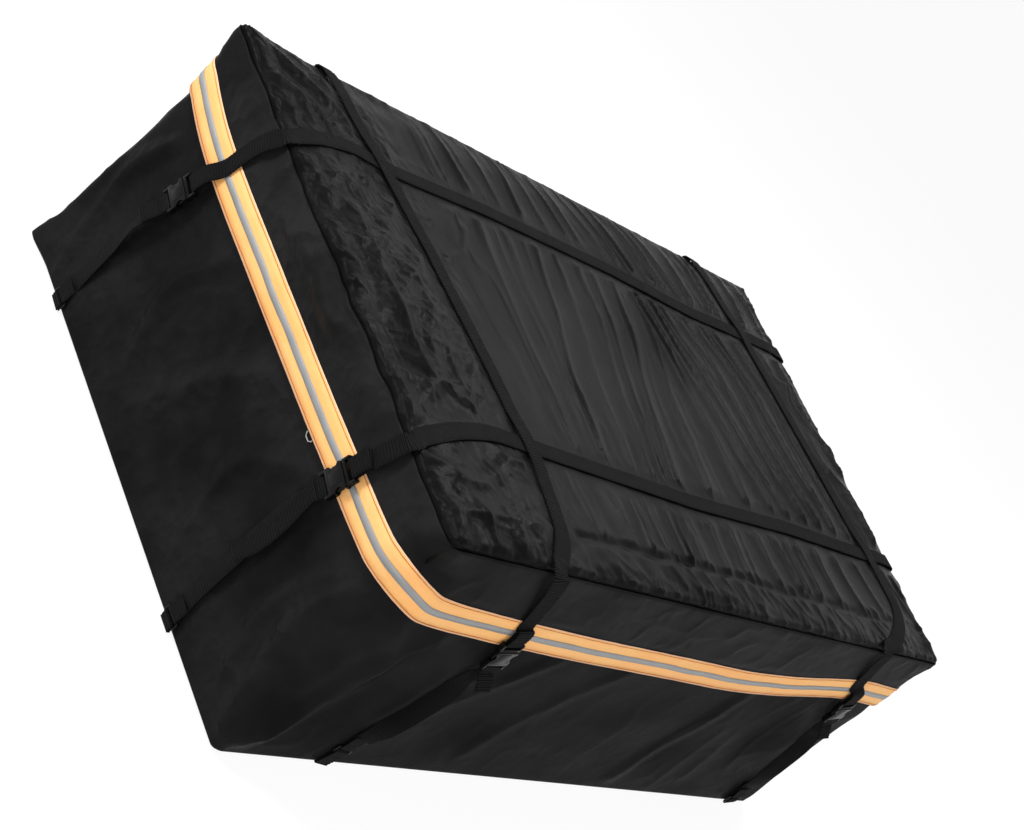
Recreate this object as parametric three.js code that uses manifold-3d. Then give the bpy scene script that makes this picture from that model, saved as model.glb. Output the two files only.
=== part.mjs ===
// A soft roof cargo bag, filled and closed, held down by four webbing straps with side-release buckles.
// Millimetres. X is the long side, Y the short side, +Z is up, and the bag stands on its base.
import * as THREE from "three";
import { mergeVertices } from "three/addons/utils/BufferGeometryUtils.js";
import Module from "manifold-3d";

const wasm = await Module();
wasm.setup();

// The filled bag
const BAG_LENGTH = 1200;
const BAG_WIDTH = 800;
const BAG_HEIGHT = 430;
const GAP = 0.3;
const CLOTH_GAP = 0.5;
const LAY_GAP = 0.7;
const BASE_CORNER_RADIUS = 14;
const BAND_CORNER_RADIUS = 62;
const TOP_CORNER_RADIUS = 10;
const FAR_LEFT_RADIUS = 34;
const NEAR_RIGHT_RADIUS = 36;
const BASE_EDGE = 6;
const SEAM_DROP = 6;
const SEAM_INSET = 4;
const SHOULDERS = [22, 8];
const CROWN = 5;

// The zip and the flap over it
const ZIP_HEIGHT = 334;
const BAND_TOP = 380;
const ZIP_GROOVE_DEPTH = 9;
const ZIP_GROOVE_HALF = 7;
const GROOVE_BEVEL = 2;
const CHAIN_WIDTH = 6;
const CHAIN_THICKNESS = 2;
const LID_SETBACK = 3.5;
const FLAP_THICKNESS = 1.5;
const FLAP_HEM_STANDOFF = 3.6;
const FLAP_TOP_STANDOFF = 0.6;
const FLAP_INSET = 2;
const FLAP_SLACK = 1.6;
const TAPE_WIDTH = 49;
const TAPE_THICKNESS = 0.6;
const STRIPE_WIDTH = 10;
const STRIPE_THICKNESS = 0.3;
const HEM_MARGIN = 1.5;

// Webbing, buckles and rings
const WEBBING_WIDTH = 25;
const WEBBING_THICKNESS = 1.5;
const BUCKLE_WIDTH = 34;
const BUCKLE_THICKNESS = 10;
const BUCKLE_WALL = 1.8;
const BUCKLE_LIFT = 7.3;
const FEMALE_POCKET = 24;
const POCKET_END = 3;
const BUCKLE_CORNER = 3;
const BUCKLE_BEVEL = 1;
const PRONG_LENGTH = 20;
const PRONG_WIDTH = 5.5;
const PRONG_CLEARANCE = 0.6;
const TONGUE_WIDTH = 10.6;
const TONGUE_LENGTH = 14;
const MALE_BASE = 5;
const MALE_SETBACK = 1;
const BAR = 3;
const SLOT_HEIGHT = 5.5;
const SLOT_CLEARANCE = 0.9;
const THUMB_RADIUS = 7;
const THUMB_DEPTH = 4.5;
const SEWN_LENGTH = 24;
const RING_HEIGHT = 13.5;
const RING_WIRE = 3;
const RING_LIFT = -1;
const RING_CORNER = 2.5;
const WIRE_BEVEL = 0.8;
const TAB_RISE = 1.5;

// Zip sliders and their pull cords
const SLIDER_LENGTH = 11;
const SLIDER_HEIGHT = 8;
const SLIDER_PROUD = 2;
const NOSE_WIDTH = 3;
const NOSE_WALL = 1.2;
const PULL_LENGTH = 38;
const PULL_WIDTH = 16;
const PULL_CORNER = 4;
const PULL_CORD = 1.5;
const PULL_OFFSET = 1.6;

const SEAM_HEIGHT = BAG_HEIGHT - SEAM_DROP;
const half = [BAG_LENGTH / 2, BAG_WIDTH / 2];

// Places along the bag and across it are listed for this half length and half width. On a bag of another
// size they keep their share of it.
const LISTED_HALF = [600, 400];
const stretch = half.map((reach, i) => reach / LISTED_HALF[i]);
const walls = {
  front: { axis: 0, out: -1 },
  right: { axis: 1, out: 1 },
  back: { axis: 0, out: 1 },
  left: { axis: 1, out: -1 },
};

// The load pushes each corner a little way from a true box: corner signs, then the shift.
const slumps = [
  [-1, 1, 1, -1, 3, 4],
  [-1, -1, 1, -2, -1, -4],
  [1, -1, 1, -8, 11, -12],
  [1, 1, 1, 11, -15, 4],
  [-1, 1, -1, -15, 5, 0],
  [-1, -1, -1, 11, -3, 0],
  [1, -1, -1, 4, 1, 0],
];

function settle(point) {
  const across = [
    point.x / BAG_LENGTH + 0.5,
    point.y / BAG_WIDTH + 0.5,
    point.z / BAG_HEIGHT,
  ];
  const moved = point.clone();
  for (const [sx, sy, sz, dx, dy, dz] of slumps) {
    const share = [sx, sy, sz]
      .map((sign, i) => (sign > 0 ? across[i] : 1 - across[i]))
      .reduce((a, b) => a * b);
    moved.add(new THREE.Vector3(dx, dy, dz).multiplyScalar(share));
  }
  return moved;
}

function smooth(t) {
  const c = Math.min(Math.max(t, 0), 1);
  return c * c * (3 - 2 * c);
}

function lerp(a, b, t) {
  return a + (b - a) * t;
}

// Reads a curve listed as [place, value] pairs in rising order of place.
function along(pairs, place) {
  const last = pairs.length - 1;
  if (place <= pairs[0][0]) return pairs[0][1];
  if (place >= pairs[last][0]) return pairs[last][1];
  const next = pairs.findIndex((pair) => pair[0] > place);
  const [p0, v0] = pairs[next - 1];
  const [p1, v1] = pairs[next];
  return lerp(v0, v1, (place - p0) / (p1 - p0));
}

// The load fills two of the upright corners out less roundly than the others.
const fullest = {
  "left 1": FAR_LEFT_RADIUS,
  "back -1": FAR_LEFT_RADIUS,
  "front 1": NEAR_RIGHT_RADIUS,
  "right -1": NEAR_RIGHT_RADIUS,
};
const FULL_AT = 0.75;

// The upright corners are tight at the base and at the top seam, and full between them.
function cornerRadius(wall, sign, z) {
  const full = fullest[`${wall} ${sign}`] ?? BAND_CORNER_RADIUS;
  if (z > BAND_TOP)
    return lerp(full, TOP_CORNER_RADIUS, (z - BAND_TOP) / (SEAM_HEIGHT - BAND_TOP));
  return lerp(BASE_CORNER_RADIUS, full, smooth(z / (ZIP_HEIGHT * FULL_AT)));
}

// A point on a wall: at is its x on the front and back and its y on the ends, and out is its distance off
// the wall.
function wallPoint(wall, at, z, out = 0) {
  const { axis, out: facing } = walls[wall];
  const sign = Math.sign(at) || 1;
  const radius = cornerRadius(wall, sign, z);
  const fromCorner = half[axis] - Math.abs(at);
  const xy = [0, 0];
  if (fromCorner >= radius) {
    xy[axis] = at;
    xy[1 - axis] = facing * (half[1 - axis] + out);
  } else {
    const turn = (1 - fromCorner / radius) * (Math.PI / 4);
    xy[axis] = sign * (half[axis] - radius + (radius + out) * Math.sin(turn));
    xy[1 - axis] =
      facing * (half[1 - axis] - radius + (radius + out) * Math.cos(turn));
  }
  return new THREE.Vector3(xy[0], xy[1], z);
}

// Places round the bag, seen from above and counterclockwise, for the walls, the flap and the tapes.
const EDGE_STEPS = [0, 10, 20, 40, 62];
const WALL_STEP = 105;

function wallStations() {
  const stations = [];
  for (const [wall, { axis }] of Object.entries(walls)) {
    const reach = half[axis];
    const inner = reach - EDGE_STEPS.at(-1);
    const count = Math.max(2, Math.round((2 * inner) / WALL_STEP));
    const ats = EDGE_STEPS.map((step) => step - reach);
    for (let i = 1; i < count; i++) ats.push(-inner + (2 * inner * i) / count);
    for (const step of EDGE_STEPS.slice(1).reverse()) ats.push(reach - step);
    const turn = wall === "back" || wall === "left" ? -1 : 1;
    for (const at of ats) stations.push({ wall, at: turn * at });
  }
  return stations;
}

const stations = wallStations();

function ring(height, out) {
  return stations.map(({ wall, at }) => {
    const z = typeof height === "function" ? height(wall, at) : height;
    const off = typeof out === "function" ? out(wall, at, z) : out;
    return wallPoint(wall, at, z, off);
  });
}

// Closed surfaces, gathered triangle by triangle
class Surface {
  constructor() {
    this.corners = [];
  }

  triangle(a, b, c) {
    this.corners.push(a, b, c);
  }

  quad(a, b, c, d) {
    this.triangle(a, b, c);
    this.triangle(a, c, d);
  }

  // Joins two loops of equal length; the second lies above the first when both run counterclockwise.
  between(lower, upper) {
    lower.forEach((corner, i) => {
      const j = (i + 1) % lower.length;
      this.quad(corner, lower[j], upper[j], upper[i]);
    });
  }

  cap(loop, facingDown) {
    const middle = loop
      .reduce((sum, p) => sum.add(p), new THREE.Vector3())
      .divideScalar(loop.length);
    loop.forEach((p, i) => {
      const next = loop[(i + 1) % loop.length];
      if (facingDown) this.triangle(middle, next, p);
      else this.triangle(middle, p, next);
    });
  }

  geometry(place = settle) {
    const geometry = new THREE.BufferGeometry().setFromPoints(
      this.corners.map(place),
    );
    return mergeVertices(geometry, 1e-4);
  }
}

const asBuilt = (point) => point;

// Straps over the top, as [place along, place across] in millimetres, read off the bag by eye.
// Lengthwise straps list [x, y], crosswise straps list [y, x].
const lengthwise = {
  rear: [
    [-600, 204],
    [-570, 212],
    [-535, 226],
    [-480, 235],
    [-400, 226],
    [-200, 238],
    [80, 240],
    [300, 228],
    [480, 235],
    [600, 236],
  ],
  front: [
    [-600, -261],
    [-570, -251],
    [-535, -238],
    [-500, -227],
    [-440, -216],
    [0, -222],
    [250, -212],
    [480, -214],
    [600, -208],
  ],
};
const crosswise = {
  left: [
    [-400, -411],
    [-385, -402],
    [-365, -389],
    [-335, -377],
    [-250, -368],
    [-100, -378],
    [0, -390],
    [100, -401],
    [200, -420],
    [300, -440],
    [400, -452],
  ],
  right: [
    [-400, 430],
    [-385, 452],
    [-365, 481],
    [-335, 512],
    [-300, 524],
    [-200, 510],
    [0, 493],
    [200, 472],
    [300, 452],
    [400, 430],
  ],
};

const stretched = (pairs, first, second) =>
  pairs.map(([place, across]) => [place * stretch[first], across * stretch[second]]);
for (const name in lengthwise) lengthwise[name] = stretched(lengthwise[name], 0, 1);
for (const name in crosswise) crosswise[name] = stretched(crosswise[name], 1, 0);

function distanceToStraps(x, y) {
  const away = Object.values(lengthwise).map((path) =>
    Math.abs(y - along(path, x)),
  );
  for (const path of Object.values(crosswise))
    away.push(Math.abs(x - along(path, y)));
  return Math.min(...away);
}

// Long folds of the top between the crosswise straps. Each row gives the x of one ridge at the back seam,
// on both sides of the rear strap, at two places between the straps, on both sides of the front strap and
// at the tuck, and then its height.
const FOLD_LEVELS = [395, 260, 212, 100, -50, -190, -240, -335];
const longFolds = [
  [-310, -290, -312, -328, -305, -302, -338, -330, 3],
  [-255, -228, -246, -250, -255, -252, -290, -277, 5],
  [-182, -162, -184, -190, -196, -196, -222, -216, 3],
  [-112, -112, -110, -134, -178, -194, -168, -172, 7],
  [-78, -48, -66, -80, -112, -128, -132, -130, 4],
  [-34, 4, -12, -20, -58, -76, -84, -84, 7],
  [0, 34, 28, 8, -22, -48, -42, -50, 5],
  [38, 100, 76, 56, 12, -22, 20, 8, 7],
  [84, 136, 128, 120, 86, 66, 70, 60, 8],
  [122, 168, 132, 156, 168, 172, 148, 148, 8],
  [172, 226, 176, 198, 222, 242, 198, 212, 7],
  [202, 254, 204, 242, 262, 288, 232, 232, 6],
  [234, 296, 262, 294, 310, 338, 264, 266, 7],
  [308, 332, 316, 346, 356, 384, 318, 324, 7],
  [364, 392, 352, 390, 412, 434, 378, 392, 7],
  [392, 416, 420, 452, 466, 482, 446, 464, 6],
];

// Shorter, softer crumples elsewhere on the top: [x, y] from end to end, half width and height.
const crumples = [
  { path: [[-575, 120], [-540, 92], [-532, 10], [-522, -60], [-530, -150]], wide: 24, high: 7 },
  { path: [[-556, 40], [-486, 84], [-436, 160], [-420, 178]], wide: 20, high: 6 },
  { path: [[-596, 150], [-560, 150], [-520, 172], [-470, 178]], wide: 18, high: 5 },
  { path: [[-510, -20], [-470, 20], [-436, 60]], wide: 18, high: 5 },
  { path: [[-500, -130], [-474, -60], [-440, -10]], wide: 18, high: 4 },
  { path: [[-570, 388], [-520, 330], [-470, 290], [-446, 270]], wide: 18, high: 6 },
  { path: [[-530, 392], [-480, 340], [-448, 316]], wide: 14, high: 5 },
  { path: [[-590, 320], [-545, 295], [-505, 262]], wide: 16, high: 5 },
  { path: [[-460, -170], [-420, -110], [-404, -40]], wide: 14, high: 3 },
  { path: [[-560, -290], [-500, -300], [-430, -250], [-396, -246]], wide: 20, high: 5 },
  { path: [[-580, -350], [-500, -345], [-420, -340]], wide: 16, high: 4 },
  { path: [[-545, -185], [-500, -160], [-470, -180]], wide: 14, high: 4 },
  { path: [[-370, 150], [-320, 190], [-280, 214]], wide: 16, high: 5 },
  { path: [[-362, 90], [-318, 120], [-290, 170]], wide: 14, high: 5 },
  { path: [[545, 200], [556, 80], [600, -10]], wide: 14, high: 6 },
  { path: [[505, 100], [540, 150], [552, 190]], wide: 12, high: 4 },
  { path: [[520, -20], [552, -90], [570, -180]], wide: 14, high: 6 },
  { path: [[572, 20], [590, -60], [596, -150]], wide: 12, high: 5 },
  { path: [[545, -240], [566, -300], [590, -335]], wide: 12, high: 5 },
  { path: [[572, -240], [592, -290], [600, -330]], wide: 10, high: 4 },
  { path: [[505, 380], [500, 300], [490, 262]], wide: 12, high: 5 },
  { path: [[545, 385], [556, 320], [552, 262]], wide: 12, high: 5 },
];

const LISTED_TUCK = -342;
const TUCK = LISTED_TUCK * stretch[1];
const TUCK_START = -350;
const TUCK_DEPTH = 3;
const TUCK_HALF = 12;
const FOLD_HALF = 16;
const FILLING_EDGE = 60;
const STRAP_MASK = WEBBING_WIDTH / 2 + 4;
const FOLD_FREEDOM = 34;
const EDGE_FREEDOM = 26;

function foldAt(row, y) {
  const pairs = FOLD_LEVELS.map((level, i) => [level, longFolds[row][i]]);
  return along(pairs.reverse(), y / stretch[1]) * stretch[0];
}

function distanceToPath(path, x, y) {
  let least = Infinity;
  for (let i = 1; i < path.length; i++) {
    const [ax, ay] = path[i - 1];
    const [dx, dy] = [path[i][0] - ax, path[i][1] - ay];
    const reach = Math.min(
      Math.max(((x - ax) * dx + (y - ay) * dy) / (dx * dx + dy * dy), 0),
      1,
    );
    least = Math.min(least, Math.hypot(x - ax - reach * dx, y - ay - reach * dy));
  }
  return least;
}

// Height of the top above its flat level, from the filling and the folds pressed down under the straps
function relief(x, y) {
  const toEdge = Math.min(half[0] - Math.abs(x), half[1] - Math.abs(y));
  let height = 0;
  longFolds.forEach((row, i) => {
    const high = row.at(-1);
    const away = Math.abs(x - foldAt(i, y)) / FOLD_HALF;
    if (away < 1 && y > TUCK) height = Math.max(height, high * (1 - away));
  });
  for (const { path, wide, high } of crumples) {
    const away = distanceToPath(path, x / stretch[0], y / stretch[1]);
    if (away < wide) height = Math.max(height, high * smooth(1 - away / wide));
  }
  const tuck = TUCK_DEPTH * Math.max(0, 1 - Math.abs(y - TUCK) / TUCK_HALF);
  const freedom = smooth((distanceToStraps(x, y) - STRAP_MASK) / FOLD_FREEDOM);
  const edge = smooth(toEdge / EDGE_FREEDOM);
  const filling = CROWN * smooth(toEdge / FILLING_EDGE);
  return (height - (x > TUCK_START * stretch[0] ? tuck : 0)) * freedom * edge + filling;
}

// The columns of the top run along the ridges and the valleys, so that each fold stays sharp.
const LEFT_STEPS = [92, 120];
const RIDGE_SPACE = [6, 20];
const THIRDS = [0.33, 0.66];

function topColumns() {
  const straight = (x) => () => x;
  const columns = [...EDGE_STEPS, ...LEFT_STEPS].map((step) => straight(step - half[0]));
  const leftStrap = (y) => along(crosswise.left, y);
  const rightStrap = (y) => along(crosswise.right, y);
  const strapEdge = WEBBING_WIDTH / 2;
  columns.push((y) => lerp(LEFT_STEPS.at(-1) - half[0], leftStrap(y) - strapEdge, 0.5));
  columns.push((y) => leftStrap(y) - strapEdge);
  columns.push((y) => leftStrap(y) + strapEdge);
  const ridges = longFolds.map((_, i) => (y) => foldAt(i, y));
  ridges.forEach((ridge, i) => {
    const before = i ? ridges[i - 1] : (y) => leftStrap(y) + strapEdge;
    columns.push((y) => lerp(before(y), ridge(y), 0.5));
    columns.push(ridge);
  });
  const past = (side) => (y) =>
    Math.max(rightStrap(y) + side * strapEdge, ridges.at(-1)(y) + RIDGE_SPACE[(side + 1) / 2]);
  columns.push(past(-1), past(1));
  const start = past(1);
  const stop = half[0] - EDGE_STEPS[3];
  for (const share of THIRDS) columns.push((y) => lerp(start(y), stop, share));
  for (const step of EDGE_STEPS.slice(0, 4).reverse()) columns.push(straight(half[0] - step));
  return columns;
}

const STRAP_MARGIN = 18;
const MIDDLE_ROWS = [0.12, 0.26, 0.4, 0.54, 0.68, 0.82];
const strapDrift = (name) => (x) => along(lengthwise[name], x);

// The rows run across the bag, and those near a lengthwise strap follow it.
function topRows() {
  const rear = strapDrift("rear");
  const front = strapDrift("front");
  const strapEdge = WEBBING_WIDTH / 2;
  const near = -half[1];
  return [
    ...EDGE_STEPS.slice(0, 4).map((step) => () => near + step),
    () => TUCK,
    () => TUCK + TUCK_HALF,
    (x) => lerp(TUCK + TUCK_HALF, front(x) - strapEdge, 0.4),
    (x) => front(x) - strapEdge - STRAP_MARGIN,
    (x) => front(x) - strapEdge,
    (x) => front(x) + strapEdge,
    (x) => front(x) + strapEdge + STRAP_MARGIN,
    ...MIDDLE_ROWS.map(
      (share) => (x) =>
        lerp(front(x) + strapEdge + STRAP_MARGIN, rear(x) - strapEdge - STRAP_MARGIN, share),
    ),
    (x) => rear(x) - strapEdge - STRAP_MARGIN,
    (x) => rear(x) - strapEdge,
    (x) => rear(x) + strapEdge,
    (x) => rear(x) + strapEdge + STRAP_MARGIN,
    (x) => lerp(rear(x) + strapEdge + STRAP_MARGIN, half[1] - EDGE_STEPS[3], 0.5),
    ...EDGE_STEPS.slice(0, 4).reverse().map((step) => () => half[1] - step),
  ];
}

function topPoint(x, y) {
  const onX = Math.abs(x) >= half[0];
  const onY = Math.abs(y) >= half[1];
  if (!onX && !onY) return new THREE.Vector3(x, y, BAG_HEIGHT + relief(x, y));
  if (onX)
    return wallPoint(x > 0 ? "right" : "left", y, SEAM_HEIGHT, -SEAM_INSET);
  return wallPoint(y > 0 ? "back" : "front", x, SEAM_HEIGHT, -SEAM_INSET);
}

function topGrid() {
  const columns = topColumns();
  const rows = topRows();
  return rows.map((row) =>
    columns.map((column) => {
      const roughX = column(row(0));
      const y = row(roughX);
      const x = column(y);
      return { x, y: Math.abs(row(x)) >= half[1] ? y : row(x) };
    }),
  );
}

const grid = topGrid();

// The edge of the grid, counterclockwise from the front left corner
function gridEdge() {
  const lastRow = grid.length - 1;
  const lastColumn = grid[0].length - 1;
  const edge = [];
  for (let j = 0; j < lastColumn; j++) edge.push({ wall: "front", at: grid[0][j].x });
  for (let i = 0; i < lastRow; i++)
    edge.push({ wall: "right", at: grid[i][lastColumn].y });
  for (let j = lastColumn; j > 0; j--)
    edge.push({ wall: "back", at: grid[lastRow][j].x });
  for (let i = lastRow; i > 0; i--) edge.push({ wall: "left", at: grid[i][0].y });
  return edge;
}

const coverTriangles = [];

function topCover() {
  const surface = new Surface();
  const edge = gridEdge();
  const loop = (z, out) => edge.map(({ wall, at }) => wallPoint(wall, at, z, out));
  const bandFoot = ZIP_HEIGHT + ZIP_GROOVE_HALF + GROOVE_BEVEL;
  const loops = [
    loop(ZIP_HEIGHT + GAP / 2, -ZIP_GROOVE_DEPTH),
    loop(ZIP_HEIGHT + ZIP_GROOVE_HALF, -ZIP_GROOVE_DEPTH),
    loop(bandFoot, -LID_SETBACK),
    loop(BAND_TOP, -LID_SETBACK),
    ...SHOULDERS.map((drop) => loop(SEAM_HEIGHT - drop, -LID_SETBACK)),
    loop(SEAM_HEIGHT, -SEAM_INSET),
  ];
  surface.cap(loops[0], true);
  for (let i = 1; i < loops.length; i++) surface.between(loops[i - 1], loops[i]);
  const points = grid.map((row) => row.map(({ x, y }) => topPoint(x, y)));
  for (let i = 1; i < points.length; i++) {
    for (let j = 1; j < points[0].length; j++) {
      const [a, b] = [points[i - 1][j - 1], points[i - 1][j]];
      const [c, d] = [points[i][j], points[i][j - 1]];
      surface.quad(a, b, c, d);
      coverTriangles.push([a, b, c], [a, c, d]);
    }
  }
  return surface.geometry();
}

// Height of the finished top under a place, found on its own facets
function coverHeight(x, y) {
  let height = SEAM_HEIGHT;
  for (const [a, b, c] of coverTriangles) {
    const area = (b.x - a.x) * (c.y - a.y) - (c.x - a.x) * (b.y - a.y);
    if (Math.abs(area) < 1e-9) continue;
    const v = ((x - a.x) * (c.y - a.y) - (c.x - a.x) * (y - a.y)) / area;
    const w = ((b.x - a.x) * (y - a.y) - (x - a.x) * (b.y - a.y)) / area;
    if (v < 0 || w < 0 || v + w > 1) continue;
    height = Math.max(height, a.z + v * (b.z - a.z) + w * (c.z - a.z));
  }
  return height;
}

// Soft hollows in the walls where the fabric sinks between what is packed inside
const hollows = [
  { wall: "left", at: -300, z: 190, wide: 60, high: 130, deep: 7 },
  { wall: "left", at: -130, z: 120, wide: 80, high: 90, deep: 6 },
  { wall: "left", at: 0, z: 220, wide: 90, high: 80, deep: 5 },
  { wall: "left", at: 110, z: 90, wide: 90, high: 70, deep: 6 },
  { wall: "left", at: 190, z: 230, wide: 60, high: 80, deep: 6 },
  { wall: "left", at: 340, z: 150, wide: 60, high: 110, deep: 6 },
  { wall: "front", at: -500, z: 150, wide: 70, high: 130, deep: 7 },
  { wall: "front", at: -260, z: 120, wide: 120, high: 110, deep: 5 },
  { wall: "front", at: 0, z: 210, wide: 110, high: 90, deep: 5 },
  { wall: "front", at: 190, z: 110, wide: 100, high: 90, deep: 5 },
  { wall: "front", at: 380, z: 190, wide: 80, high: 110, deep: 6 },
  { wall: "back", at: -330, z: 170, wide: 130, high: 120, deep: 6 },
  { wall: "back", at: 60, z: 130, wide: 130, high: 110, deep: 6 },
  { wall: "back", at: 390, z: 190, wide: 90, high: 120, deep: 5 },
  { wall: "right", at: -220, z: 160, wide: 90, high: 120, deep: 6 },
  { wall: "right", at: 60, z: 200, wide: 100, high: 110, deep: 6 },
];

function hollowDepth(wall, at, z) {
  let depth = 0;
  for (const hollow of hollows) {
    if (hollow.wall !== wall) continue;
    const listed = at / stretch[walls[wall].axis];
    const away = Math.hypot((listed - hollow.at) / hollow.wide, (z - hollow.z) / hollow.high);
    depth = Math.max(depth, hollow.deep * smooth(1 - away));
  }
  return -depth;
}

const WALL_LEVELS = [0.14, 0.32, 0.5, 0.68, 0.84];

function bagBody() {
  const surface = new Surface();
  const top = ZIP_HEIGHT - GAP / 2;
  const lip = ZIP_HEIGHT - ZIP_GROOVE_HALF;
  const loops = [
    ring(0, -BASE_EDGE),
    ring(BASE_EDGE, 0),
    ...WALL_LEVELS.map((level) => ring(lip * level, hollowDepth)),
    ring(lip - GROOVE_BEVEL, 0),
    ring(lip, -ZIP_GROOVE_DEPTH),
    ring(top, -ZIP_GROOVE_DEPTH),
  ];
  surface.cap(loops[0], true);
  for (let i = 1; i < loops.length; i++) surface.between(loops[i - 1], loops[i]);
  surface.cap(loops.at(-1), false);
  return surface.geometry();
}

// The middle of the reflective tape wanders up and down round the bag. For each wall it is listed as
// [place, height over the zip].
const tapeMiddle = {
  front: [
    [-600, 8],
    [-560, -4],
    [-520, -12],
    [-380, -20],
    [-220, -25],
    [0, -27],
    [160, -30],
    [280, -22],
    [400, -5],
    [460, 2],
    [600, -5],
  ],
  right: [
    [-400, -5],
    [-150, -12],
    [150, -4],
    [400, 2],
  ],
  back: [
    [-600, 18],
    [-350, 0],
    [0, -8],
    [350, -4],
    [600, 2],
  ],
  left: [
    [-400, 8],
    [-330, 2],
    [-150, -3],
    [200, -5],
    [300, -1],
    [400, 18],
  ],
};

const tapeHeight = (wall, at) =>
  ZIP_HEIGHT + along(tapeMiddle[wall], at / stretch[walls[wall].axis]);
const hemHeight = (wall, at) => tapeHeight(wall, at) - TAPE_WIDTH / 2 - HEM_MARGIN;

// The flap hangs close under the top seam and stands off the zip at its hem.
function flapStandoff(wall, at, z) {
  const zipTop = ZIP_HEIGHT + ZIP_GROOVE_HALF;
  const rise = (z - zipTop) / (SEAM_HEIGHT - FLAP_INSET - zipTop);
  return lerp(FLAP_HEM_STANDOFF, FLAP_TOP_STANDOFF, Math.min(Math.max(rise, 0), 1));
}

const flapOuter = (wall, at, z) => flapStandoff(wall, at, z) + FLAP_THICKNESS;

// Slack folds of the flap between the seam and the tape, kept clear of the straps. Each wave has its size,
// its turns along the wall and its turns up the wall.
const slackWaves = [
  [1, 0.031, 0.09],
  [0.6, 0.083, -0.05],
];
const SLACK_FREE = [30, 70];

function flapSlack(wall, at, z) {
  const wave = slackWaves
    .map(([size, sideways, upwards]) => size * Math.sin(at * sideways + z * upwards))
    .reduce((a, b) => a + b);
  const [from, to] = SLACK_FREE;
  const clear = smooth((strapDistanceOnWall(wall, at) - from) / (to - from));
  return flapOuter(wall, at, z) + Math.max(0, FLAP_SLACK * wave) * clear;
}

function strapDistanceOnWall(wall, at) {
  const crossings = upperStraps
    .flatMap(({ ends }) => ends)
    .filter((end) => end.wall === wall)
    .flatMap((end) => end.drop.map(([place]) => Math.abs(place - at)));
  return Math.min(...crossings);
}

function sideFlap() {
  const surface = new Surface();
  const tapeTop = (wall, at) => tapeHeight(wall, at) + TAPE_WIDTH / 2 + HEM_MARGIN;
  const top = SEAM_HEIGHT - FLAP_INSET;
  const upper = (BAND_TOP + top) / 2;
  const loops = [
    ring(hemHeight, flapStandoff),
    ring(hemHeight, flapOuter),
    ring(tapeTop, flapOuter),
    ring(BAND_TOP, flapSlack),
    ring(upper, flapSlack),
    ring(top, flapOuter),
    ring(top, flapStandoff),
    ring(upper, flapStandoff),
    ring(BAND_TOP, flapStandoff),
    ring(tapeTop, flapStandoff),
  ];
  loops.forEach((loop, i) => surface.between(loop, loops[(i + 1) % loops.length]));
  return surface.geometry();
}

// A flat band round the bag that lies over the flap
function bandAround(width, thickness, lift) {
  const surface = new Surface();
  const edge = (share) => (wall, at) => tapeHeight(wall, at) + width * share;
  const under = (wall, at, z) => flapOuter(wall, at, z) + lift;
  const over = (wall, at, z) => under(wall, at, z) + thickness;
  const loops = [
    ring(edge(-0.5), under),
    ring(edge(-0.5), over),
    ring(edge(0.5), over),
    ring(edge(0.5), under),
  ];
  loops.forEach((loop, i) => surface.between(loop, loops[(i + 1) % loops.length]));
  return surface.geometry();
}

function zipChain() {
  const surface = new Surface();
  const inner = -ZIP_GROOVE_DEPTH + CLOTH_GAP;
  const outer = inner + CHAIN_THICKNESS;
  const [low, high] = [ZIP_HEIGHT - CHAIN_WIDTH / 2, ZIP_HEIGHT + CHAIN_WIDTH / 2];
  const loops = [ring(low, inner), ring(low, outer), ring(high, outer), ring(high, inner)];
  loops.forEach((loop, i) => surface.between(loop, loops[(i + 1) % loops.length]));
  return surface.geometry();
}

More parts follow.
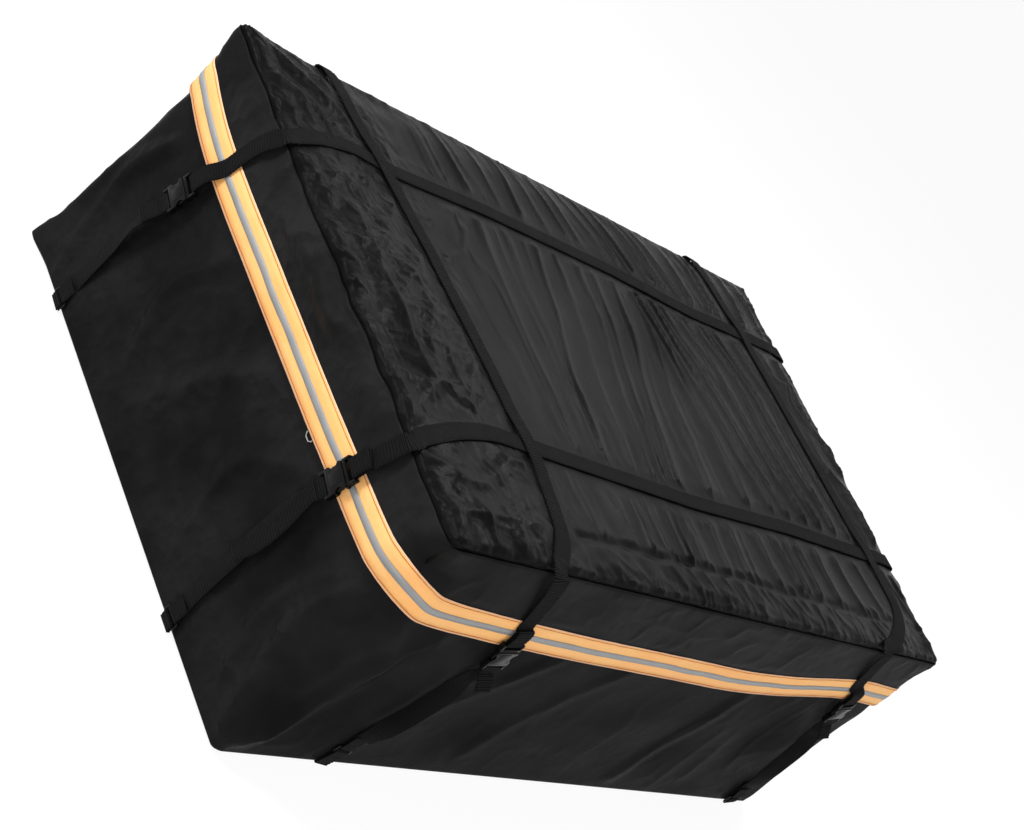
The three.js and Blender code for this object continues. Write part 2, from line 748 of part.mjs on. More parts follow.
// Each strap end: how it drops down the wall as [place, height, distance off the wall], its buckle, its
// ring, the slack strap between them as [place, height, off the wall, twist in degrees], and the loose
// tail as [sideways, down from the buckle, forward].
const upperStraps = [
  {
    name: "rear",
    over: lengthwise.rear,
    axis: 0,
    ends: [
      {
        wall: "left",
        drop: [
          [203, 424, 8],
          [211, 408, 10],
          [220, 388, 9],
          [227, 360, 8],
          [232, 332, 8],
        ],
        buckle: { at: 249, z: 270, lean: 10 },
        ring: { at: 275, z: 14, lean: 3 },
        tail: [[0, 20, 4], [-4, 44, 7]],
        slack: [
          [258, 214, 12, 0],
          [268, 180, 14, 25],
          [272, 120, 8, 12],
          [274, 60, 6, 0],
        ],
      },
      {
        wall: "right",
        drop: [
          [236, 422, 8],
          [237, 395, 9],
          [238, 355, 8],
          [239, 330, 8],
        ],
        buckle: { at: 240, z: 272, lean: 1 },
        ring: { at: 244, z: 16, lean: 1 },
        tail: [[0, 20, 5], [3, 60, 9]],
        slack: [
          [241, 205, 10, 0],
          [243, 120, 9, 6],
          [244, 60, 6, 0],
        ],
      },
    ],
  },
  {
    name: "front",
    over: lengthwise.front,
    axis: 0,
    ends: [
      {
        wall: "left",
        drop: [
          [-264, 424, 8],
          [-261, 408, 10],
          [-257, 392, 10],
          [-254, 378, 9],
        ],
        buckle: { at: -244, z: 338, lean: 9 },
        ring: { at: -226, z: 16, lean: 0 },
        tail: [[0, 18, 5], [14, 60, 9], [19, 110, 9], [12, 150, 8]],
        slack: [
          [-232, 272, 12, 0],
          [-226, 230, 10, 0],
          [-223, 150, 7, 0],
          [-224, 60, 6, 0],
        ],
      },
      {
        wall: "right",
        drop: [
          [-208, 422, 8],
          [-208, 395, 9],
          [-209, 370, 8],
        ],
        buckle: { at: -211, z: 318, lean: -1 },
        ring: { at: -216, z: 16, lean: 0 },
        tail: [[0, 20, 5], [-3, 70, 9]],
        slack: [
          [-213, 250, 10, 0],
          [-216, 150, 9, -8],
          [-216, 60, 6, 0],
        ],
      },
    ],
  },
  {
    name: "left",
    over: crosswise.left,
    axis: 1,
    ends: [
      {
        wall: "front",
        drop: [
          [-411, 424, 13],
          [-402, 409, 13],
          [-392, 390, 11],
          [-382, 368, 9],
          [-374, 348, 8],
          [-368, 328, 8],
        ],
        buckle: { at: -361, z: 290, lean: 8 },
        ring: { at: -411, z: 40, lean: -12 },
        tail: [[0, 17, 6], [2, 32, 16]],
        slack: [
          [-366, 226, 11, 10],
          [-378, 190, 15, 55],
          [-392, 130, 14, 68],
          [-404, 74, 9, 22],
        ],
      },
      {
        wall: "back",
        drop: [
          [-453, 422, 8],
          [-454, 400, 9],
          [-455, 382, 8],
        ],
        buckle: { at: -457, z: 330, lean: -2 },
        ring: { at: -462, z: 18, lean: 0 },
        tail: [[0, 20, 5], [2, 65, 9]],
        slack: [
          [-459, 262, 10, 0],
          [-461, 150, 9, 10],
          [-462, 60, 6, 0],
        ],
      },
    ],
  },
  {
    name: "right",
    over: crosswise.right,
    axis: 1,
    ends: [
      {
        wall: "front",
        drop: [
          [418, 424, 9],
          [422, 404, 9],
          [430, 385, 9],
          [440, 364, 8],
          [452, 342, 8],
        ],
        buckle: { at: 474, z: 298, lean: 14 },
        ring: { at: 538, z: 20, lean: 12 },
        tail: [[0, 17, 6], [1, 32, 15]],
        slack: [
          [489, 236, 11, 8],
          [503, 190, 14, 45],
          [518, 120, 12, 40],
          [530, 70, 8, 10],
        ],
      },
      {
        wall: "back",
        drop: [
          [429, 422, 8],
          [430, 400, 9],
          [431, 372, 8],
        ],
        buckle: { at: 432, z: 318, lean: 0 },
        ring: { at: 436, z: 18, lean: 0 },
        tail: [[0, 20, 5], [-2, 60, 9]],
        slack: [
          [434, 250, 10, 0],
          [436, 150, 9, -10],
          [436, 60, 6, 0],
        ],
      },
    ],
  },
];

// The same strap end on a bag of another size
function fitted(end) {
  const share = stretch[walls[end.wall].axis];
  const moved = ([at, ...rest]) => [at * share, ...rest];
  return {
    ...end,
    drop: end.drop.map(moved),
    slack: end.slack.map(moved),
    buckle: { ...end.buckle, at: end.buckle.at * share },
    ring: { ...end.ring, at: end.ring.at * share },
  };
}

for (const strap of upperStraps) strap.ends = strap.ends.map(fitted);

// A strap station: the middle of the underside, the way that the upper side faces and, where the strap is
// held by hardware, the line across it
function station(point, facing, level = null) {
  return { point, facing, level };
}

function settled(point, facing) {
  const from = settle(point);
  const to = settle(point.clone().addScaledVector(facing, 10));
  return station(from, to.sub(from).normalize());
}

function wallFacing(wall) {
  const { axis, out } = walls[wall];
  return axis ? new THREE.Vector3(out, 0, 0) : new THREE.Vector3(0, out, 0);
}

// A frame for hardware on a wall: x across the strap, y up along it, z away from the bag
function seat({ wall, at, z, lean, out }) {
  const facing = wallFacing(wall);
  const { axis, out: side } = walls[wall];
  const sideways = new THREE.Vector3(axis ? 0 : 1, axis ? 1 : 0, 0);
  const tilt = THREE.MathUtils.degToRad(lean);
  const low = wallPoint(wall, at, z, out);
  const up = new THREE.Vector3(0, 0, Math.cos(tilt)).addScaledVector(
    sideways,
    -Math.sin(tilt),
  );
  const point = settle(low);
  const upward = settle(low.clone().addScaledVector(up, 10)).sub(point).normalize();
  const level = settle(low.clone().addScaledVector(sideways, 10)).sub(point);
  const normal = new THREE.Vector3().crossVectors(level, upward).normalize();
  if (normal.dot(facing) < 0) normal.negate();
  const across = new THREE.Vector3().crossVectors(upward, normal);
  return new THREE.Matrix4().makeBasis(across, upward, normal).setPosition(point);
}

// A strap station in a hardware frame: sideways, up and outward, with the way its upper side faces
function inFrame(matrix, [across, up, out], [facingUp, facingOut]) {
  const point = new THREE.Vector3(across, up, out).applyMatrix4(matrix);
  const facing = new THREE.Vector3(0, facingUp, facingOut).transformDirection(matrix);
  const level = new THREE.Vector3(1, 0, 0).transformDirection(matrix);
  return station(point, facing, level);
}

// A webbing strap through its stations, turned at each by a twist in radians
function ribbon(path, twists = []) {
  const surface = new Surface();
  const sections = path.map(({ point, facing, level }, i) => {
    const before = path[Math.max(i - 1, 0)].point;
    const after = path[Math.min(i + 1, path.length - 1)].point;
    const forward = after.clone().sub(before).normalize();
    const normal = facing.clone().addScaledVector(forward, -facing.dot(forward));
    normal.normalize();
    if (twists[i]) normal.applyAxisAngle(forward, twists[i]);
    const across = new THREE.Vector3().crossVectors(forward, normal);
    if (level) {
      across.copy(level).multiplyScalar(Math.sign(across.dot(level)));
      normal.copy(facing);
    }
    const corner = (side, lift) =>
      point
        .clone()
        .addScaledVector(across, (side * WEBBING_WIDTH) / 2)
        .addScaledVector(normal, lift);
    return [
      corner(-1, 0),
      corner(-1, WEBBING_THICKNESS),
      corner(1, WEBBING_THICKNESS),
      corner(1, 0),
    ];
  });
  for (let i = 1; i < sections.length; i++)
    surface.between(sections[i - 1], sections[i]);
  const [first, last] = [sections[0], sections.at(-1)];
  surface.quad(first[3], first[2], first[1], first[0]);
  surface.quad(last[0], last[1], last[2], last[3]);
  return surface.geometry(asBuilt);
}

// Webbing looped round a bar: from the front leg, round the bar, to the back leg. The legs point
// upwards with a direction of 1 and downwards with -1.
const BAR_CLEARANCE = BAR / 2 + GAP;
const TURN_CLEARANCE = BAR / 2 + 1.6 * GAP;
const BAR_DEPTH = BUCKLE_THICKNESS / 2;
const LOOP_TURNS = [45, 90, 135];

function loopRound(matrix, barUp, direction, frontLeg, backLeg) {
  const front = BAR_DEPTH + BAR_CLEARANCE;
  const back = BAR_DEPTH - BAR_CLEARANCE;
  const path = [
    inFrame(matrix, [0, barUp + direction * frontLeg, front], [0, 1]),
    inFrame(matrix, [0, barUp, front], [0, 1]),
  ];
  for (const turn of LOOP_TURNS) {
    const angle = THREE.MathUtils.degToRad(turn);
    const [up, out] = [-direction * Math.sin(angle), Math.cos(angle)];
    path.push(
      inFrame(
        matrix,
        [0, barUp + up * TURN_CLEARANCE, BAR_DEPTH + out * TURN_CLEARANCE],
        [up, out],
      ),
    );
  }
  path.push(inFrame(matrix, [0, barUp, back], [0, -1]));
  path.push(inFrame(matrix, [0, barUp + direction * backLeg, back], [0, -1]));
  return path;
}

const MALE_BAR_UP = MALE_BASE + SLOT_HEIGHT + BAR / 2;
const FEMALE_LENGTH = FEMALE_POCKET + POCKET_END;
const FEMALE_BAR_UP = -(FEMALE_LENGTH + SLOT_HEIGHT + BAR / 2);
const RING_BAR_UP = (RING_HEIGHT - RING_WIRE) / 2;
const OVERLAP_LIFT = WEBBING_THICKNESS + 2.5 * LAY_GAP;
const OVER_STEP = 40;
const EDGE_TURNS = [30, 60];
const EDGE_LIFT = 5;
const OVER_INSET = 14;
const FOOT_BACK = 19;

const buckleFrame = (end) => seat({ wall: end.wall, ...end.buckle, out: BUCKLE_LIFT });
const ringFrame = (end) => seat({ wall: end.wall, ...end.ring, out: RING_LIFT });

// Highest ground under a strap's width near a station, with any strap that it crosses
const SAMPLES = [-1, -0.5, 0, 0.5, 1];

function restingHeight(x, y, axis, crossed) {
  let height = 0;
  for (const ahead of SAMPLES) {
    for (const side of SAMPLES) {
      const shift = [(ahead * OVER_STEP) / 2, (side * WEBBING_WIDTH) / 2];
      const px = x + (axis ? shift[1] : shift[0]);
      const py = y + (axis ? shift[0] : shift[1]);
      height = Math.max(height, coverHeight(px, py));
    }
  }
  const reach = (WEBBING_WIDTH + OVER_STEP) / 2;
  const crossing = crossed.some((path) => Math.abs(y - along(path, x)) < reach);
  return crossing ? height + OVERLAP_LIFT : height;
}

// From the sewn loop on the buckle up the wall and round the top edge
function strapSide(end) {
  const loop = loopRound(buckleFrame(end), MALE_BAR_UP, 1, SEWN_LENGTH, SEWN_LENGTH);
  const side = loop.reverse();
  const outward = wallFacing(end.wall);
  for (const [at, z, out] of [...end.drop].reverse())
    side.push(settled(wallPoint(end.wall, at, z, out), outward));
  const [topAt, , topOut] = end.drop[0];
  for (const turn of EDGE_TURNS) {
    const angle = THREE.MathUtils.degToRad(turn);
    const out = (topOut + OVER_INSET) * Math.cos(angle) - OVER_INSET;
    const rise = (BAG_HEIGHT + EDGE_LIFT - SEAM_HEIGHT) * Math.sin(angle);
    const point = wallPoint(end.wall, topAt, SEAM_HEIGHT, out);
    const facing = outward.clone().multiplyScalar(Math.cos(angle));
    side.push(settled(point.setZ(SEAM_HEIGHT + rise), facing.setZ(Math.sin(angle))));
  }
  return side;
}

function upperStrap({ over, axis, ends }) {
  const facingUp = new THREE.Vector3(0, 0, 1);
  const crossed = axis ? Object.values(lengthwise) : [];
  const [start, stop] = ends.map(({ wall }) => walls[wall].out * (half[axis] - OVER_INSET));
  const count = Math.round(Math.abs(stop - start) / OVER_STEP);
  const overTop = [];
  for (let i = 0; i <= count; i++) {
    const place = lerp(start, stop, i / count);
    const across = along(over, place);
    const [x, y] = axis ? [across, place] : [place, across];
    const atEdge = i === 0 || i === count;
    const ground = atEdge ? BAG_HEIGHT + EDGE_LIFT : restingHeight(x, y, axis, crossed) + LAY_GAP;
    overTop.push(settled(new THREE.Vector3(x, y, ground), facingUp));
  }
  const [first, second] = ends.map(strapSide);
  return ribbon([...first, ...overTop, ...second.reverse()]);
}

// The lower strap: its loose tail in front, round the buckle's end bar, down to the ring and round that
function lowerStrap(end) {
  const frame = buckleFrame(end);
  const outward = wallFacing(end.wall).negate();
  const tail = end.tail.map(([across, down, out]) =>
    inFrame(frame, [across, FEMALE_BAR_UP - down, BAR_DEPTH + out], [0, 1]),
  );
  const top = loopRound(frame, FEMALE_BAR_UP, -1, SEWN_LENGTH / 2, SEWN_LENGTH / 2);
  const slack = end.slack.map(([at, z, out]) =>
    settled(wallPoint(end.wall, at, z, out), outward),
  );
  const foot = loopRound(ringFrame(end), RING_BAR_UP, 1, SEWN_LENGTH, FOOT_BACK);
  const path = [...tail.reverse(), ...top, ...slack, ...foot.reverse()];
  const twists = path.map(() => 0);
  end.slack.forEach(([, , , twist], i) => {
    twists[tail.length + top.length + i] = THREE.MathUtils.degToRad(twist);
  });
  return ribbon(path, twists);
}

// The tab that holds a ring: webbing from the bottom seam, round the ring's lower bar and back
function ringTab(end) {
  const frame = ringFrame(end);
  const [across, upward] = [new THREE.Vector3(), new THREE.Vector3()];
  frame.extractBasis(across, upward, new THREE.Vector3());
  const height = new THREE.Vector3().setFromMatrixPosition(frame).z;
  const tilted = (WEBBING_WIDTH / 2) * Math.abs(across.z);
  const leg = (height - TAB_RISE - tilted) / upward.z - RING_BAR_UP;
  const path = loopRound(frame, -RING_BAR_UP, -1, leg, leg);
  const sewn = Math.max(BAR_DEPTH - BAR_CLEARANCE + GAP, BAR_DEPTH + BAR_CLEARANCE - leg / 4);
  path[0] = inFrame(frame, [0, -RING_BAR_UP - leg, sewn], [0, 1]);
  return ribbon(path);
}

function solidFrom(geometry) {
  const bare = geometry.index ? geometry.toNonIndexed() : geometry.clone();
  for (const name of ["normal", "uv"]) bare.deleteAttribute(name);
  const merged = mergeVertices(bare, 1e-4);
  return new wasm.Manifold(
    new wasm.Mesh({
      numProp: 3,
      vertProperties: merged.getAttribute("position").array,
      triVerts: new Uint32Array(merged.index.array),
    }),
  );
}

function geometryFrom(solid) {
  const mesh = solid.getMesh();
  const geometry = new THREE.BufferGeometry();
  geometry.setAttribute("position", new THREE.BufferAttribute(mesh.vertProperties, 3));
  geometry.setIndex(new THREE.BufferAttribute(mesh.triVerts, 1));
  return geometry;
}

// A box between two corners
function block([x0, y0, z0], [x1, y1, z1]) {
  const box = new THREE.BoxGeometry(x1 - x0, y1 - y0, z1 - z0);
  return solidFrom(box.translate((x0 + x1) / 2, (y0 + y1) / 2, (z0 + z1) / 2));
}

function roundedOutline(width, low, high, radius) {
  const [x, r] = [width / 2, radius];
  return new THREE.Shape()
    .moveTo(-x + r, low)
    .lineTo(x - r, low)
    .lineTo(x, low + r)
    .lineTo(x, high - r)
    .lineTo(x - r, high)
    .lineTo(-x + r, high)
    .lineTo(-x, high - r)
    .lineTo(-x, low + r)
    .closePath();
}

function plate(shape, bottom, thickness, bevel = 0) {
  const geometry = new THREE.ExtrudeGeometry(shape, {
    depth: thickness - 2 * bevel,
    bevelEnabled: bevel > 0,
    bevelThickness: bevel,
    bevelSize: bevel,
    bevelOffset: -bevel,
    bevelSegments: 1,
    curveSegments: 4,
  });
  return solidFrom(geometry.translate(0, 0, bottom + bevel));
}

const SLOT_WIDTH = WEBBING_WIDTH + 2 * SLOT_CLEARANCE;

// The round bar that the webbing turns round, across a slot
function bar(up) {
  const geometry = new THREE.CylinderGeometry(BAR / 2, BAR / 2, SLOT_WIDTH + 2, 8);
  return solidFrom(geometry.rotateZ(Math.PI / 2).translate(0, up, BAR_DEPTH));
}

function slotAround(barUp, direction) {
  const near = barUp - direction * (BAR / 2 + SLOT_HEIGHT);
  const far = barUp + direction * BAR;
  const [low, high] = [Math.min(near, far), Math.max(near, far)];
  const x = SLOT_WIDTH / 2;
  return block([-x, low, -1], [x, high, BUCKLE_THICKNESS + 1]);
}

const POCKET_HALF = BUCKLE_WIDTH / 2 - BUCKLE_WALL;

function femaleBuckle() {
  const low = FEMALE_BAR_UP - BAR / 2;
  const outline = roundedOutline(BUCKLE_WIDTH, low, 0, BUCKLE_CORNER);
  const pocket = block(
    [-POCKET_HALF, -FEMALE_POCKET, BUCKLE_WALL],
    [POCKET_HALF, 1, BUCKLE_THICKNESS - BUCKLE_WALL],
  );
  let body = plate(outline, 0, BUCKLE_THICKNESS, BUCKLE_BEVEL)
    .subtract(pocket)
    .subtract(slotAround(FEMALE_BAR_UP, -1))
    .add(bar(FEMALE_BAR_UP));
  for (const side of [-1, 1]) {
    const thumb = new THREE.CylinderGeometry(THUMB_RADIUS, THUMB_RADIUS, BUCKLE_THICKNESS + 2, 12);
    thumb.rotateX(Math.PI / 2);
    const middle = side * (BUCKLE_WIDTH / 2 + THUMB_RADIUS - THUMB_DEPTH);
    thumb.translate(middle, -FEMALE_POCKET / 2, BAR_DEPTH);
    body = body.subtract(solidFrom(thumb));
  }
  return geometryFrom(body);
}

function maleBuckle() {
  const high = MALE_BAR_UP + BAR / 2;
  const thickness = BUCKLE_THICKNESS - 2 * BUCKLE_WALL - 2 * PRONG_CLEARANCE;
  const low = BAR_DEPTH - thickness / 2;
  const outline = roundedOutline(BUCKLE_WIDTH, GAP, high, BUCKLE_CORNER);
  const base = plate(outline, MALE_SETBACK, BUCKLE_THICKNESS - 2 * MALE_SETBACK, WIRE_BEVEL);
  const outer = POCKET_HALF - PRONG_CLEARANCE;
  let body = base.subtract(slotAround(MALE_BAR_UP, 1)).add(bar(MALE_BAR_UP));
  for (const side of [-1, 1]) {
    const [a, b] = [side * outer, side * (outer - PRONG_WIDTH)];
    const prong = block(
      [Math.min(a, b), -PRONG_LENGTH, low],
      [Math.max(a, b), MALE_BASE / 2, low + thickness],
    );
    body = body.add(prong);
  }
  const tongue = block(
    [-TONGUE_WIDTH / 2, -TONGUE_LENGTH, low],
    [TONGUE_WIDTH / 2, MALE_BASE / 2, low + thickness],
  );
  return geometryFrom(body.add(tongue));
}

function strapRing() {
  const outer = SLOT_WIDTH + 2 * RING_WIRE;
  const outline = roundedOutline(outer, -RING_HEIGHT / 2, RING_HEIGHT / 2, RING_CORNER);
  const inner = RING_HEIGHT / 2 - RING_WIRE;
  outline.holes.push(roundedOutline(SLOT_WIDTH, -inner, inner, RING_CORNER - RING_WIRE / 2));
  return geometryFrom(plate(outline, BAR_DEPTH - RING_WIRE / 2, RING_WIRE, WIRE_BEVEL));
}

// A slider in front of the chain, with a nose that the pull cord threads
function zipSlider() {
  const back = -ZIP_GROOVE_DEPTH + CHAIN_THICKNESS + CLOTH_GAP + GAP;
  const face = -LID_SETBACK + SLIDER_PROUD;
  const front = PULL_OFFSET + PULL_CORD / 2 + 2 * GAP;
  const [x, y] = [SLIDER_LENGTH / 2, SLIDER_HEIGHT / 2];
  const hole = PULL_CORD / 2 + GAP;
  const tall = hole + NOSE_WALL;
  const nose = block([-NOSE_WIDTH / 2, -tall, face - 1], [NOSE_WIDTH / 2, tall, front]);
  const eye = block(
    [-NOSE_WIDTH, -hole, PULL_OFFSET - hole],
    [NOSE_WIDTH, hole, PULL_OFFSET + hole],
  );
  return geometryFrom(block([-x, -y, back], [x, y, face]).add(nose).subtract(eye));
}

// The pull cord: a long loop that hangs from the slider and shows below the hem of the flap
function zipPull() {
  const top = PULL_CORD / 2;
  const outline = roundedOutline(PULL_WIDTH, top - PULL_LENGTH, top, PULL_CORNER);
  const inner = PULL_WIDTH - 2 * PULL_CORD;
  const [low, high] = [top - PULL_LENGTH + PULL_CORD, top - PULL_CORD];
  outline.holes.push(roundedOutline(inner, low, high, PULL_CORNER - PULL_CORD / 2));
  return geometryFrom(plate(outline, PULL_OFFSET - PULL_CORD / 2, PULL_CORD));
}

const zipSliders = [
  { name: "left", wall: "left", at: -163 },
  { name: "right", wall: "right", at: 20 },
];

const fabric = { color: 0x38383b, roughness: 0.42, metalness: 0 };
const webbing = { color: 0x1b1b1d, roughness: 0.75, metalness: 0 };
const plastic = { color: 0x141416, roughness: 0.28, metalness: 0 };
const orange = { color: 0xf08a2c, roughness: 0.6, metalness: 0 };
const silver = { color: 0xc9c9cd, roughness: 0.35, metalness: 0.2 };
const metal = { color: 0x55555a, roughness: 0.35, metalness: 0.9 };
const cord = { color: 0xb8b8b2, roughness: 0.7, metalness: 0 };

const group = new THREE.Group();
group.name = "roof_cargo_bag";

function add(name, geometry, look, parent = group) {
  const mesh = new THREE.Mesh(geometry, new THREE.MeshStandardMaterial(look));
  mesh.name = name;
  parent.add(mesh);
  return mesh;
}

// A group that stands in a hardware frame
function holder(frame) {
  const place = new THREE.Group();
  place.applyMatrix4(frame);
  group.add(place);
  return place;
}

add("top_cover", topCover(), fabric);
add("bag_body", bagBody(), { ...fabric, color: 0x252528 });
add("side_flap", sideFlap(), { ...fabric, color: 0x2d2d30 });
add("reflective_tape", bandAround(TAPE_WIDTH, TAPE_THICKNESS, CLOTH_GAP), orange);
const stripeLift = CLOTH_GAP + TAPE_THICKNESS + GAP;
add("reflective_stripe", bandAround(STRIPE_WIDTH, STRIPE_THICKNESS, stripeLift), silver);
add("zip_chain", zipChain(), { color: 0x101012, roughness: 0.5, metalness: 0 });

for (const { name, wall, at } of zipSliders) {
  const place = holder(seat({ wall, at: at * stretch[1], z: ZIP_HEIGHT, lean: 0, out: 0 }));
  add(`zip_slider_${name}`, zipSlider(), metal, place);
  add(`zip_pull_${name}`, zipPull(), cord, place);
}

for (const strap of upperStraps) {
  add(`top_strap_${strap.name}`, upperStrap(strap), webbing);
  for (const end of strap.ends) {
    const name = `${strap.name}_${end.wall}`;
    const buckle = holder(buckleFrame(end));
    add(`male_buckle_${name}`, maleBuckle(), plastic, buckle);
    add(`female_buckle_${name}`, femaleBuckle(), plastic, buckle);
    add(`lower_strap_${name}`, lowerStrap(end), webbing);
    add(`strap_ring_${name}`, strapRing(), plastic, holder(ringFrame(end)));
    add(`ring_tab_${name}`, ringTab(end), webbing);
  }
}

// The origin is the middle of the base.
const bounds = new THREE.Box3().setFromObject(group);
const middle = bounds.getCenter(new THREE.Vector3());
group.position.set(-middle.x, -middle.y, -bounds.min.z);

export default group;
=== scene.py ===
# %% [markdown]
# # A filled roof cargo bag
# The bag is a box of coated nylon that soft luggage pushes out of true. Its lid is closed by a zip under a
# flap, a bright tape runs round the flap, and four webbing straps hold it down with side-release buckles.
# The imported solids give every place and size. Here each cloth part becomes one fine grid that follows the
# same box, with the folds that the filling and the straps press into it, and each moulded part is rebuilt
# with rounded edges. One shared way of folding keeps cloth, tape and straps lying on one another.

import math

import bmesh
import bpy
import numpy as np
from mathutils import Matrix, Vector


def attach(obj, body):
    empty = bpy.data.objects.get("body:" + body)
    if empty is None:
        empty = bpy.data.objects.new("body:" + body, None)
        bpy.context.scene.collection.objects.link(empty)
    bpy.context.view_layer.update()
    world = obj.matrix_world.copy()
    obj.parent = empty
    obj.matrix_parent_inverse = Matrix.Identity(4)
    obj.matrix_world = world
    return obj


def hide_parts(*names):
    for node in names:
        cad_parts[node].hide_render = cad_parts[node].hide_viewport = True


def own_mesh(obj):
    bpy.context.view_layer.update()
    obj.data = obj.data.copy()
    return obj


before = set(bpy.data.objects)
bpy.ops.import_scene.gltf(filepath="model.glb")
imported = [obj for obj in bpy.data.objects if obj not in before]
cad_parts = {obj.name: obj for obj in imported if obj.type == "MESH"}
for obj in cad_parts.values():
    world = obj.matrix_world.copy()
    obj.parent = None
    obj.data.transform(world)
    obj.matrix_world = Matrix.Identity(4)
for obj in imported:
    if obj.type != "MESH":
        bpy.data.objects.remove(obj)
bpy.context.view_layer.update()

# %% [markdown]
# ## Camera
# The photograph was taken from above the near left corner, with the camera rolled far over, so that the
# bag seems to stand on one edge. A camera can be placed by eye, by a tracking tool, or from its own axes.
# Here the axes are known from the bag's corners, so they go straight into the camera's matrix.

# %% Place the camera
LENS = 65.18
EYE = Vector((-2.0859, -1.3112, 1.3457))
TO_RIGHT = Vector((0.61532, -0.35948, 0.70154))
TO_FOOT = Vector((0.21068, -0.78259, -0.5858))
AHEAD = Vector((0.7596, 0.50826, -0.40581))

camera_data = bpy.data.cameras.new("photo_camera")
camera_data.lens = LENS
camera_data.sensor_width = 36
camera = bpy.data.objects.new("photo_camera", camera_data)
bpy.context.scene.collection.objects.link(camera)
turn = Matrix((TO_RIGHT, -TO_FOOT, -AHEAD)).transposed()
camera.matrix_world = Matrix.Translation(EYE) @ turn.to_4x4()
bpy.context.scene.camera = camera
bpy.context.scene.view_settings.view_transform = "Standard"
print("camera at", [round(c, 3) for c in EYE])

# %% [markdown]
# ## Shader maths
# A finish is a small network of nodes. Wired by hand, the maths in it is long and hard to read, so one
# class wraps a socket and lets Python's own operators add the Math nodes. Any other node comes from one
# method, which takes the node's type, its settings and its inputs.

# %% Wrap sockets
class Signal:
    """A socket that can be added, multiplied and subtracted like a number."""

    def __init__(self, tree, socket):
        self.tree = tree
        self.socket = socket

    def math(self, operation, *others):
        node = self.tree.nodes.new("ShaderNodeMath")
        node.operation = operation
        for i, value in enumerate((self, *others)):
            if isinstance(value, Signal):
                self.tree.links.new(value.socket, node.inputs[i])
            else:
                node.inputs[i].default_value = value
        return Signal(self.tree, node.outputs[0])

    def __add__(self, other):
        return self.math("ADD", other)

    def __mul__(self, other):
        return self.math("MULTIPLY", other)

    def __sub__(self, other):
        return self.math("SUBTRACT", other)

    def __rsub__(self, other):
        return self.math("MULTIPLY_ADD", -1.0, other)

    __radd__ = __add__
    __rmul__ = __mul__

    def above(self, edge, soft):
        """0 under edge, 1 over edge + soft."""
        return ((self - edge) * (1 / soft)).math("MINIMUM", 1.0).math("MAXIMUM", 0.0)


print("sockets can be added and multiplied")


# %% Build finishes
def set_stops(ramp, stops):
    while len(ramp.elements) < len(stops):
        ramp.elements.new(1.0)
    for element, (place, color) in zip(ramp.elements, stops):
        element.position = place
        element.color = color


class Finish:
    """A material whose changing parts are drawn as nodes and whose constants are set on its shader."""

    def __init__(self, name, roughness=0.5, **constants):
        self.material = bpy.data.materials.new(name)
        self.material.use_nodes = True
        self.tree = self.material.node_tree
        self.shader = self.tree.nodes["Principled BSDF"]
        self.shader.inputs["Roughness"].default_value = roughness
        for socket, value in constants.items():
            self.shader.inputs[socket.replace("_", " ")].default_value = value

    def node(self, kind, settings=None, out=0, **inputs):
        """Any node, from its type, its settings and its inputs, which are named or numbered: in0, in1."""
        made = self.tree.nodes.new("ShaderNode" + kind)
        for key, value in (settings or {}).items():
            if key == "stops":
                set_stops(made.color_ramp, value)
            else:
                setattr(made, key, value)
        for name, value in inputs.items():
            key = int(name[2:]) if name.startswith("in") else name.replace("_", " ")
            socket = made.inputs[key]
            if isinstance(value, Signal):
                self.tree.links.new(value.socket, socket)
            else:
                socket.default_value = value
        return Signal(self.tree, made.outputs[out])

    def cloth_map(self):
        """The piece's own map, in metres along and across the cloth."""
        return self.node("UVMap", {"uv_map": "cloth"})

    def solid(self):
        """Object coordinates, in metres."""
        return self.node("TexCoord", out=3)

    def noise(self, scale, detail, place=None, **more):
        return self.node("TexNoise", Vector=place or self.solid(), Scale=scale, Detail=detail, **more)

    def give(self, socket, signal):
        self.tree.links.new(signal.socket, self.shader.inputs[socket])

    def mix(self, factor, first, second):
        """A colour between two colours, each given as numbers or as a signal."""
        return self.node("Mix", {"data_type": "RGBA"}, out=2, in0=factor, in6=first, in7=second)

    def bump(self, height, distance, strength=1.0):
        self.give("Normal", self.node("Bump", Strength=strength, Distance=distance, Height=height))


def grey(value):
    return (value, value, value, 1.0)


print("finishes can be built")

# %% [markdown]
# ## Coated nylon
# The cloth is a tight plain weave with a thin coating, almost black, and it shines softly where it bends.
# A weave could be a picture, but two crossed waves on the cloth's own map give threads of a true size at
# any distance. Broad noise changes the shine, as rubbing does on the real cloth. Where it was folded small,
# cells of noise with sharp borders crinkle it: mostly at the left end, and beside the seams of the top.

# %% Make the nylon finishes
THREAD = 0.0009
# The scale at which a wave texture has one band to the metre
ONE_BAND = 0.31416
# For each size of facet: how fine, how bent and how deep
FACETS = ((26.0, 0.03, 5.2), (75.0, 0.012, 1.5))
NYLON_RELIEF = 0.0012


def bands(finish, place, axis, pitch):
    """Soft ridges across one axis of a map, a pitch in metres apart."""
    settings = {"wave_type": "BANDS", "bands_direction": axis, "wave_profile": "SIN"}
    return finish.node("TexWave", settings, out=1, Vector=place, Scale=ONE_BAND / pitch)


def facets(finish, solid, scale, bend):
    """Flat facets with sharp borders, as in cloth that was folded small."""
    drift = finish.node("TexNoise", out=1, Vector=solid, Scale=scale * 0.7, Detail=2.0)
    pull = (bend, bend, bend)
    bent = finish.node("VectorMath", {"operation": "MULTIPLY_ADD"}, in0=drift, in1=pull, in2=solid)
    return finish.node("TexVoronoi", {"feature": "F1"}, Vector=bent, Scale=scale)


